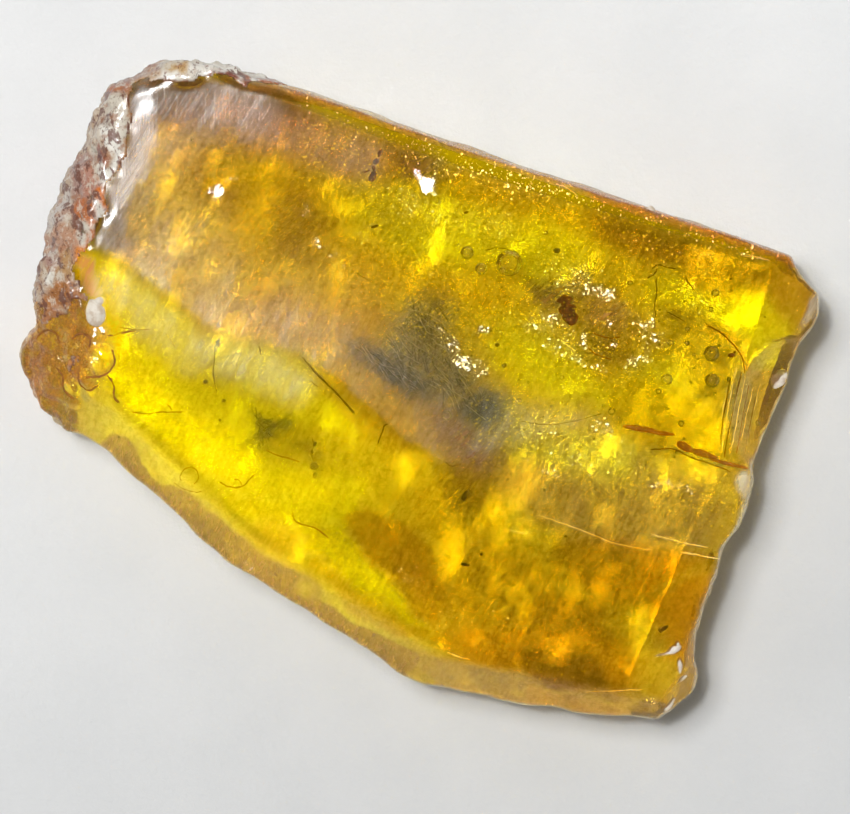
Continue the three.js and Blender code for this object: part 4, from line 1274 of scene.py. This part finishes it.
def lump(name, places, detail, rough, grain):
    """Joined rounded lumps with a crumpled surface.

    Rough is how deep they are crumpled, against the least half-axis, and grain how finely.
    """
    turned = []
    for x, y, depth, axes, turn in places:
        turned.append((under(x, y, depth), axes, Euler((0.0, 0.0, math.radians(turn)))))
    piece = scatter(name, model_shape("ico", subdivisions=detail), turned)
    points = vectors_of(piece) / MM
    normals = vectors_of(piece, "normal")
    least = min(min(axes) for _x, _y, _d, axes, _t in places)
    move_points(piece, points + normals * (ripple(points, grain, 21.0) * rough * least)[:, None])
    return piece


# each lump: its place in plan, its depth, its half-axes and its turn in plan
INSECT_PARTS = [
    (7.15, 4.5, 0.5, (0.34, 0.30, 0.2), 0), (7.3, 4.05, 0.5, (0.42, 0.36, 0.24), -20),
    (7.45, 3.65, 0.5, (0.38, 0.34, 0.2), -20),
]
WING_CASE = [
    (-2.05, 11.85, 0.4, (0.10, 0.22, 0.1), -20), (-2.25, 11.45, 0.4, (0.12, 0.18, 0.1), -30),
    (-2.35, 11.1, 0.4, (0.10, 0.14, 0.1), 10), (-2.4, 10.7, 0.4, (0.17, 0.30, 0.12), -25),
    (-2.7, 10.95, 0.4, (0.18, 0.05, 0.05), 20),
]
DARK_SPECKS = [
    (-10.1, 2.4, 0.2, (0.12, 0.2, 0.08), 0), (-10.7, 0.5, 0.5, (0.12, 0.1, 0.06), 0),
    (-9.8, -0.45, 0.5, (0.11, 0.09, 0.06), 0), (-10.0, -1.4, 0.6, (0.07, 0.09, 0.05), 0),
    (-15.0, -2.2, 0.4, (0.08, 0.06, 0.05), 0), (-5.3, -3.7, 0.6, (0.22, 0.2, 0.1), 0),
    (-5.25, -4.15, 0.6, (0.12, 0.16, 0.06), 0), (-5.4, -3.0, 0.6, (0.08, 0.14, 0.05), 20),
    (-5.25, -2.6, 0.6, (0.07, 0.12, 0.05), -20), (-4.9, -3.9, 0.6, (0.05, 0.05, 0.04), 0),
    (2.25, 8.9, 0.5, (0.12, 0.07, 0.05), 20), (6.75, 7.0, 0.6, (0.2, 0.14, 0.08), 0),
    (3.8, 2.3, 0.6, (0.13, 0.1, 0.06), 0), (4.15, 1.3, 0.6, (0.11, 0.15, 0.06), 0),
    (2.2, -5.15, 0.8, (0.14, 0.3, 0.1), -30), (2.2, -8.6, 0.6, (0.24, 0.08, 0.07), -10),
    (12.1, -11.8, 0.5, (0.1, 0.28, 0.07), -60), (11.9, -11.9, 0.5, (0.08, 0.14, 0.06), 20),
    (-2.3, 8.2, 0.4, (0.2, 0.07, 0.05), 10), (-11.4, 12.5, 0.3, (0.06, 0.05, 0.04), 0),
    (7.2, -7.2, 0.4, (0.07, 0.07, 0.05), 0), (3.0, -8.1, 0.5, (0.07, 0.07, 0.05), 0),
    (15.4, 5.6, 0.6, (0.06, 0.05, 0.04), 0), (17.1, 3.7, 0.6, (0.06, 0.05, 0.04), 0),
]
RED_SPECKS = [(15.45, 1.8, 0.4, (0.2, 0.13, 0.08), 0), (15.6, 1.95, 0.4, (0.08, 0.08, 0.06), 0)]
ORANGE_PIECES = [
    (10.9, -1.85, 0.35, (0.9, 0.14, 0.06), -9), (11.9, -2.05, 0.35, (0.75, 0.11, 0.05), -8),
    (13.1, -2.75, 0.3, (0.45, 0.2, 0.08), -30), (14.0, -3.1, 0.3, (0.8, 0.17, 0.06), -16),
    (15.3, -3.6, 0.3, (1.0, 0.10, 0.05), -14),
]
CORNER_CHIP = [
    (12.0, -13.1, 0.05, (0.35, 0.08, 0.06), 12), (12.6, -12.85, 0.05, (0.4, 0.22, 0.08), 30),
    (12.75, -12.55, 0.05, (0.14, 0.16, 0.06), 0), (12.9, -13.6, 0.05, (0.12, 0.5, 0.06), 0),
    (13.0, -14.3, 0.1, (0.3, 0.14, 0.08), 30), (12.4, -15.6, 0.1, (0.16, 0.4, 0.08), -35),
]
SIDE_CHIPS = [
    (17.85, 0.65, 0.10, (0.38, 0.55, 0.10), -30), (11.45, 9.0, 0.05, (0.22, 0.24, 0.08), 0),
    (11.7, 8.65, 0.15, (0.12, 0.12, 0.06), 0), (11.95, 8.6, 0.15, (0.12, 0.1, 0.06), 0),
]
GREY_KERNEL = [(-16.2, 3.95, 0.05, (0.56, 0.74, 0.18), 10), (-15.95, 4.5, 0.1, (0.34, 0.3, 0.14), 0)]

for lump_name, places, detail, rough, grain, slot, matter in (
    ("red_insect_part", INSECT_PARTS, 3, 0.5, 0.3, "plant_debris", RED_MATTER),
    ("wing_case", WING_CASE, 3, 0.3, 0.2, "plant_debris", RED_MATTER),
    ("dark_specks", DARK_SPECKS, 2, 0.4, 0.15, "plant_debris", DARK_MATTER),
    ("red_specks", RED_SPECKS, 2, 0.3, 0.15, "plant_debris", RED_MATTER),
    ("orange_slivers", ORANGE_PIECES, 3, 0.5, 0.3, "cloudy_veil", ORANGE_MATTER),
    ("corner_chip", CORNER_CHIP, 3, 0.6, 0.2, "weathered_skin", PALE_MATTER),
    ("side_chips", SIDE_CHIPS, 3, 0.5, 0.25, "weathered_skin", PALE_MATTER),
    ("grey_kernel", GREY_KERNEL, 3, 0.3, 0.4, "weathered_skin", PALE_MATTER),
):
    finish_piece(lump(lump_name, places, detail, rough, grain), matter)


# ------------------------------------------------------------- cloudy patches

VEIL_CELL = 0.14
VEIL_THICKNESS = 0.02
VEIL_WAVE, VEIL_WAVE_SIZE = 0.18, 0.9


def veil(name, outline, depth, soft):
    """A thin cloudy sheet in the resin that follows the top at this depth."""
    corners = np.array(outline)
    margin = 0.6 * soft + 0.4
    low, high = corners.min(0) - margin, corners.max(0) + margin
    wide, deep = high - low
    bpy.ops.mesh.primitive_grid_add(
        x_subdivisions=int(wide / VEIL_CELL), y_subdivisions=int(deep / VEIL_CELL), size=1.0,
    )
    sheet = bpy.context.object
    sheet.name = name
    points = vectors_of(sheet)
    points[:, 0] = low[0] + (points[:, 0] + 0.5) * wide
    points[:, 1] = low[1] + (points[:, 1] + 0.5) * deep
    points[:, 2] = [top_at(x, y) - depth for x, y in points[:, :2]]
    points[:, 2] += VEIL_WAVE * ripple(points, VEIL_WAVE_SIZE, depth)
    move_points(sheet, points)
    outside = into_outline(points, outline) < -soft * 0.5 - 2.0 * VEIL_CELL
    cut_away(sheet, sheet.data.vertices, "VERT", outside)
    modify(sheet, "SOLIDIFY", thickness=VEIL_THICKNESS * MM, offset=0.0)
    return sheet


# each veil: its depth, the width of its faded border, its colour, how dense it is, its outline
VEILS = [
    ("dark_hairy_veil", 1.0, 1.5, rgb(120, 118, 92), 0.46, [
        (-3.8, 2.5), (-2.4, 2.4), (-1.6, 3.0), (-0.6, 4.4), (0.4, 4.9), (1.6, 4.6), (1.4, 3.2), (1.5, 2.2),
        (2.0, 1.4), (2.6, 0.7), (3.4, -0.2), (4.0, -0.6), (3.9, -1.2), (2.8, -1.4), (1.6, -0.9), (0.6, -0.1),
        (-0.6, 0.0), (-1.8, 0.6), (-3.0, 1.4)]),
    ("dark_veil_rim", 0.8, 0.7, rgb(82, 88, 68), 0.62, [
        (-3.6, 2.2), (-2.4, 1.7), (-1.0, 1.0), (0.2, 0.6), (0.4, 0.1), (-0.8, 0.1), (-2.2, 0.8),
        (-3.4, 1.7)]),
    ("dark_veil_end", 0.8, 0.8, rgb(66, 64, 42), 0.74, [
        (2.0, -0.5), (3.2, -0.2), (4.0, -0.5), (4.0, -1.2), (3.2, -1.5), (2.2, -1.2)]),
    ("mauve_tail", 1.2, 1.6, rgb(150, 120, 100), 0.42, [
        (0.6, -0.6), (2.4, -1.2), (3.8, -1.6), (3.8, -3.0), (3.0, -4.0), (1.8, -3.8), (0.8, -2.4)]),
    ("olive_cloud", 1.6, 1.0, rgb(136, 112, 20), 0.38, [
        (1.0, -4.2), (2.0, -3.8), (2.9, -4.3), (2.7, -5.4), (1.8, -5.9), (1.0, -5.3)]),
    ("brown_cloud", 1.4, 1.8, rgb(150, 116, 60), 0.26, [
        (-8.0, 9.6), (-6.6, 10.9), (-5.2, 10.2), (-4.8, 8.4), (-5.8, 6.6), (-7.6, 6.8)]),
    ("brown_smear", 0.9, 0.7, rgb(120, 94, 58), 0.6, [
        (5.4, 5.3), (6.4, 5.5), (7.4, 5.3), (7.8, 6.2), (8.6, 6.4), (8.2, 5.2), (7.0, 4.4), (6.2, 4.3),
        (5.5, 4.7)]),
    ("mauve_smear", 0.9, 0.9, rgb(176, 146, 104), 0.4, [
        (8.4, 4.7), (10.2, 4.6), (10.6, 3.8), (9.4, 3.6), (8.2, 4.0)]),
    # hollow_shade and grey_shade_by_edge are painted shade: dim sheets where the resin is shaded.
    ("hollow_shade", 1.4, 0.9, rgb(130, 106, 24), 0.34, [
        (8.2, 3.0), (9.4, 3.2), (10.2, 2.4), (9.6, 1.5), (8.6, 1.5), (8.1, 2.2)]),
    ("grey_shade_by_edge", 1.2, 1.0, rgb(150, 132, 78), 0.5, [
        (-1.6, 12.2), (0.6, 12.0), (1.6, 11.0), (0.6, 10.4), (-0.8, 10.6)]),
    ("olive_smear", 1.0, 1.4, rgb(156, 130, 24), 0.2, [
        (-3.2, 9.6), (-1.2, 9.2), (0.4, 8.2), (-0.6, 7.6), (-2.6, 8.2)]),
    ("plant_fan", 0.6, 0.6, rgb(84, 78, 16), 0.66, [
        (-8.5, -0.6), (-8.1, -1.0), (-7.7, -1.4), (-7.2, -1.5), (-6.5, -1.1), (-6.6, -1.6), (-7.2, -2.0),
        (-7.7, -2.3), (-7.5, -2.9), (-8.1, -3.0), (-8.3, -2.4), (-8.0, -1.8)]),
    ("smudge_by_crack", 0.5, 0.8, rgb(140, 120, 20), 0.3, [
        (-6.5, -2.6), (-5.6, -2.4), (-5.0, -3.4), (-5.0, -4.6), (-5.6, -4.4), (-5.7, -3.2)]),
]


FIBRES_TURN = 40.0
FIBRE_PALENESS = 2.2


def veil_material(name, colour, density):
    """Cloud that lets the resin show through, thinner towards its edge."""
    paint = Paint(name)
    hairs = paint.clouds(0.22, 5.0, turn=FIBRES_TURN, stretch=(0.22, 1.0, 0.5), roughness=0.75)
    lumps = paint.clouds(0.9, 3.0)
    paler = tuple(min(1.0, c * FIBRE_PALENESS) for c in colour[:3]) + (1.0,)
    shade = paint.blend(hairs.above(0.52, 0.10), colour, paler)
    cover = paint.channel("thickness", 0) * (hairs.above(0.47, 0.10) * 0.75 + lumps.above(0.42, 0.2) * 0.4)
    surface = paint.principled(Base_Color=shade, Roughness=0.8, Alpha=(cover * density).clipped())
    return paint.finish(surface)


for veil_name, depth, soft, colour, density, outline in VEILS:
    sheet = veil(veil_name, outline, depth, soft)
    thinning = Brush(sheet, shake=0.12, shake_size=0.5)
    thinning.prime("thickness", (0.0, 0.0, 0.0))
    thinning.patch("thickness", outline, soft, (1.0, 1.0, 1.0))
    thinning.store()
    finish_piece(sheet, veil_material(veil_name, colour, density))


HAIR_BOW = 0.36


def hairs_in(outline, count, lengths, aim, stray, depths, width):
    """Fine hairs strewn in an outline, each near one direction in plan, in degrees."""
    corners = np.array(outline)
    low, high = corners.min(0), corners.max(0)
    strands = []
    while len(strands) < count:
        x, y = random.uniform(low[0], high[0]), random.uniform(low[1], high[1])
        if into_outline(np.array([[x, y, 0.0]]), outline)[0] < 0.1:
            continue
        turn = math.radians(random.gauss(aim, stray))
        reach = random.uniform(*lengths) / 2
        arm = (math.cos(turn) * reach, math.sin(turn) * reach)
        bow = random.uniform(-HAIR_BOW, HAIR_BOW) * reach
        middle = (x - arm[1] * bow, y + arm[0] * bow)
        places = [(x - arm[0], y - arm[1]), middle, (x + arm[0], y + arm[1])]
        strands.append((random.uniform(*depths), width * random.uniform(0.6, 1.3), places))
    return strands


HAIRY_PART = [
    (-3.6, 2.2), (-2.4, 2.0), (-1.4, 2.8), (-0.6, 4.2), (0.4, 4.6), (1.4, 4.2), (1.4, 3.0), (1.6, 1.8),
    (2.6, 0.5), (3.6, -0.4), (3.9, -1.0), (3.0, -1.3), (1.8, -0.8), (0.6, 0.0), (-0.6, 0.2), (-2.2, 0.9),
]
FAN_PART = [(-8.4, -0.6), (-7.4, -1.3), (-6.5, -1.2), (-7.2, -2.1), (-7.6, -3.0), (-8.2, -3.0), (-8.2, -1.8)]
DARK_HAIR = stain_material("dark_hair", rgb(58, 62, 48), rgb(86, 84, 60), 0.3, 0.6)
PALE_HAIR = stain_material("pale_hair", rgb(206, 200, 184), rgb(176, 176, 160), 0.3, 0.5)
dark_strands = hairs_in(HAIRY_PART, 120, (0.4, 1.3), -58.0, 22.0, (0.5, 1.1), 0.5)
dark_strands += hairs_in(FAN_PART, 26, (0.2, 0.7), -50.0, 40.0, (0.4, 0.8), 0.6)
pale_strands = hairs_in(HAIRY_PART, 80, (0.5, 1.4), -46.0, 18.0, (0.2, 0.6), 0.45)
finish_piece(thread("dark_hairs", dark_strands, 0.035), DARK_HAIR)
finish_piece(thread("pale_hairs", pale_strands, 0.03), PALE_HAIR)


# ------------------------------------------------------------ floor and lights

FLOOR_SIZE = 12.0
FLOOR_GAP = 0.04 * MM
# Painted light falloff: the paper is made darker away from this direction.
PAINTED_FALLOFF_TURN = 20.0                       # the paper darkens away from this direction, in degrees off +Y
PAINTED_FALLOFF_SHADE = (0.79, 0.79, 0.79, 1.0)


def paper_material():
    """White paper with fine fibres, and a painted light falloff that darkens it on one side near the piece.
    """
    paint = Paint("white_paper")
    shade = paint.blend(paint.clouds(5.0, 4.0), rgb(219, 220, 220), rgb(231, 231, 230))
    # Painted light falloff: darker from a little before the piece, pale again far away.
    across = paint.node("ShaderNodeSeparateXYZ", None, {0: paint.place(PAINTED_FALLOFF_TURN)}, 1)
    painted_light = (across.above(-4.0, 20.0) + 1.0 - across.above(-80.0, 40.0)).clipped()   # pale again far away
    shade = paint.tinted(1.0 - painted_light, shade, PAINTED_FALLOFF_SHADE)
    relief = paint.bump(paint.clouds(0.55, 5.0, roughness=0.65), 0.06)
    surface = paint.principled(Base_Color=shade, Roughness=0.9, Specular_IOR_Level=0.1, Normal=relief)
    return paint.finish(surface)


bpy.ops.mesh.primitive_plane_add(size=FLOOR_SIZE, location=(0.0, 0.0, -FLOOR_GAP))
floor = bpy.context.object
floor.name = "floor"
bpy.ops.object.transform_apply(location=True)
floor.data.materials.append(paper_material())


def lamp(name, azimuth, off_vertical, across, strength):
    """A far round lamp, this many degrees across, that lights piece and floor alike."""
    tilt, turn = math.radians(off_vertical), math.radians(azimuth)
    arm = Vector((math.sin(tilt) * math.cos(turn), math.sin(tilt) * math.sin(turn), math.cos(tilt)))
    bpy.ops.object.light_add(type="SUN", location=arm)
    light = bpy.context.object
    light.name = name
    light.data.angle = math.radians(across)
    light.data.energy = strength
    light.rotation_euler = arm.to_track_quat("Z", "Y").to_euler()
    return light


lamp("key_softbox", 143.0, 13.0, 17.0, 1.95)
flash = lamp("small_key", 145.0, 9.0, 3.0, 0.95)
flash.data.cycles.max_bounces = 2      # it shapes highlights and the shadow's edge

ZENITH = (0.03, 0.03, 0.03, 1.0)
SHOULDER = (0.30, 0.31, 0.32, 1.0)
HORIZON = (0.40, 0.41, 0.42, 1.0)


def studio_world():
    """Soft light from all round, weakest from straight above."""
    world = bpy.data.worlds.new("studio")
    world.use_nodes = True
    tree = world.node_tree
    way = tree.nodes.new("ShaderNodeTexCoord")
    split = tree.nodes.new("ShaderNodeSeparateXYZ")
    ramp = tree.nodes.new("ShaderNodeValToRGB")
    stops = ramp.color_ramp.elements
    stops[0].position, stops[0].color = 0.0, HORIZON
    stops[1].position, stops[1].color = 0.95, ZENITH
    shoulder = stops.new(0.7)
    shoulder.color = SHOULDER
    tree.links.new(way.outputs["Generated"], split.inputs[0])
    tree.links.new(split.outputs["Z"], ramp.inputs["Fac"])
    tree.links.new(ramp.outputs["Color"], tree.nodes["Background"].inputs["Color"])
    return world


scene = bpy.context.scene
scene.world = studio_world()

# ---------------------------------------------------------------------- camera

VIEW_WIDTH = 42.5 * MM
VIEW_CENTRE = Vector((0.2, -0.78, 0.0)) * MM
CAMERA_HEIGHT = 0.6
FRAMED_HEIGHT = 0.6 * TOP * MM         # the level at which the view has its stated width
SENSOR = 36.0

eye = VIEW_CENTRE + Vector((0.0, 0.0, CAMERA_HEIGHT))
bpy.ops.object.camera_add(location=eye, rotation=(0.0, 0.0, 0.0))
camera = bpy.context.object
camera.name = "camera"
camera.data.sensor_width = SENSOR
camera.data.lens = SENSOR * (CAMERA_HEIGHT - FRAMED_HEIGHT) / VIEW_WIDTH
camera.data.clip_start = 0.01
camera.data.clip_end = 50.0
camera.data.dof.use_dof = False
scene.camera = camera

scene.view_settings.view_transform = "Standard"
for setting, value in {
    "use_denoising": True, "use_adaptive_sampling": True, "adaptive_threshold": 0.25,
    "adaptive_min_samples": 16, "use_light_tree": False, "max_bounces": 12, "transmission_bounces": 10,
    "transparent_max_bounces": 12, "diffuse_bounces": 2, "glossy_bounces": 4,
    "sample_clamp_indirect": 26.0, "blur_glossy": 0.2,
}.items():
    setattr(scene.cycles, setting, value)
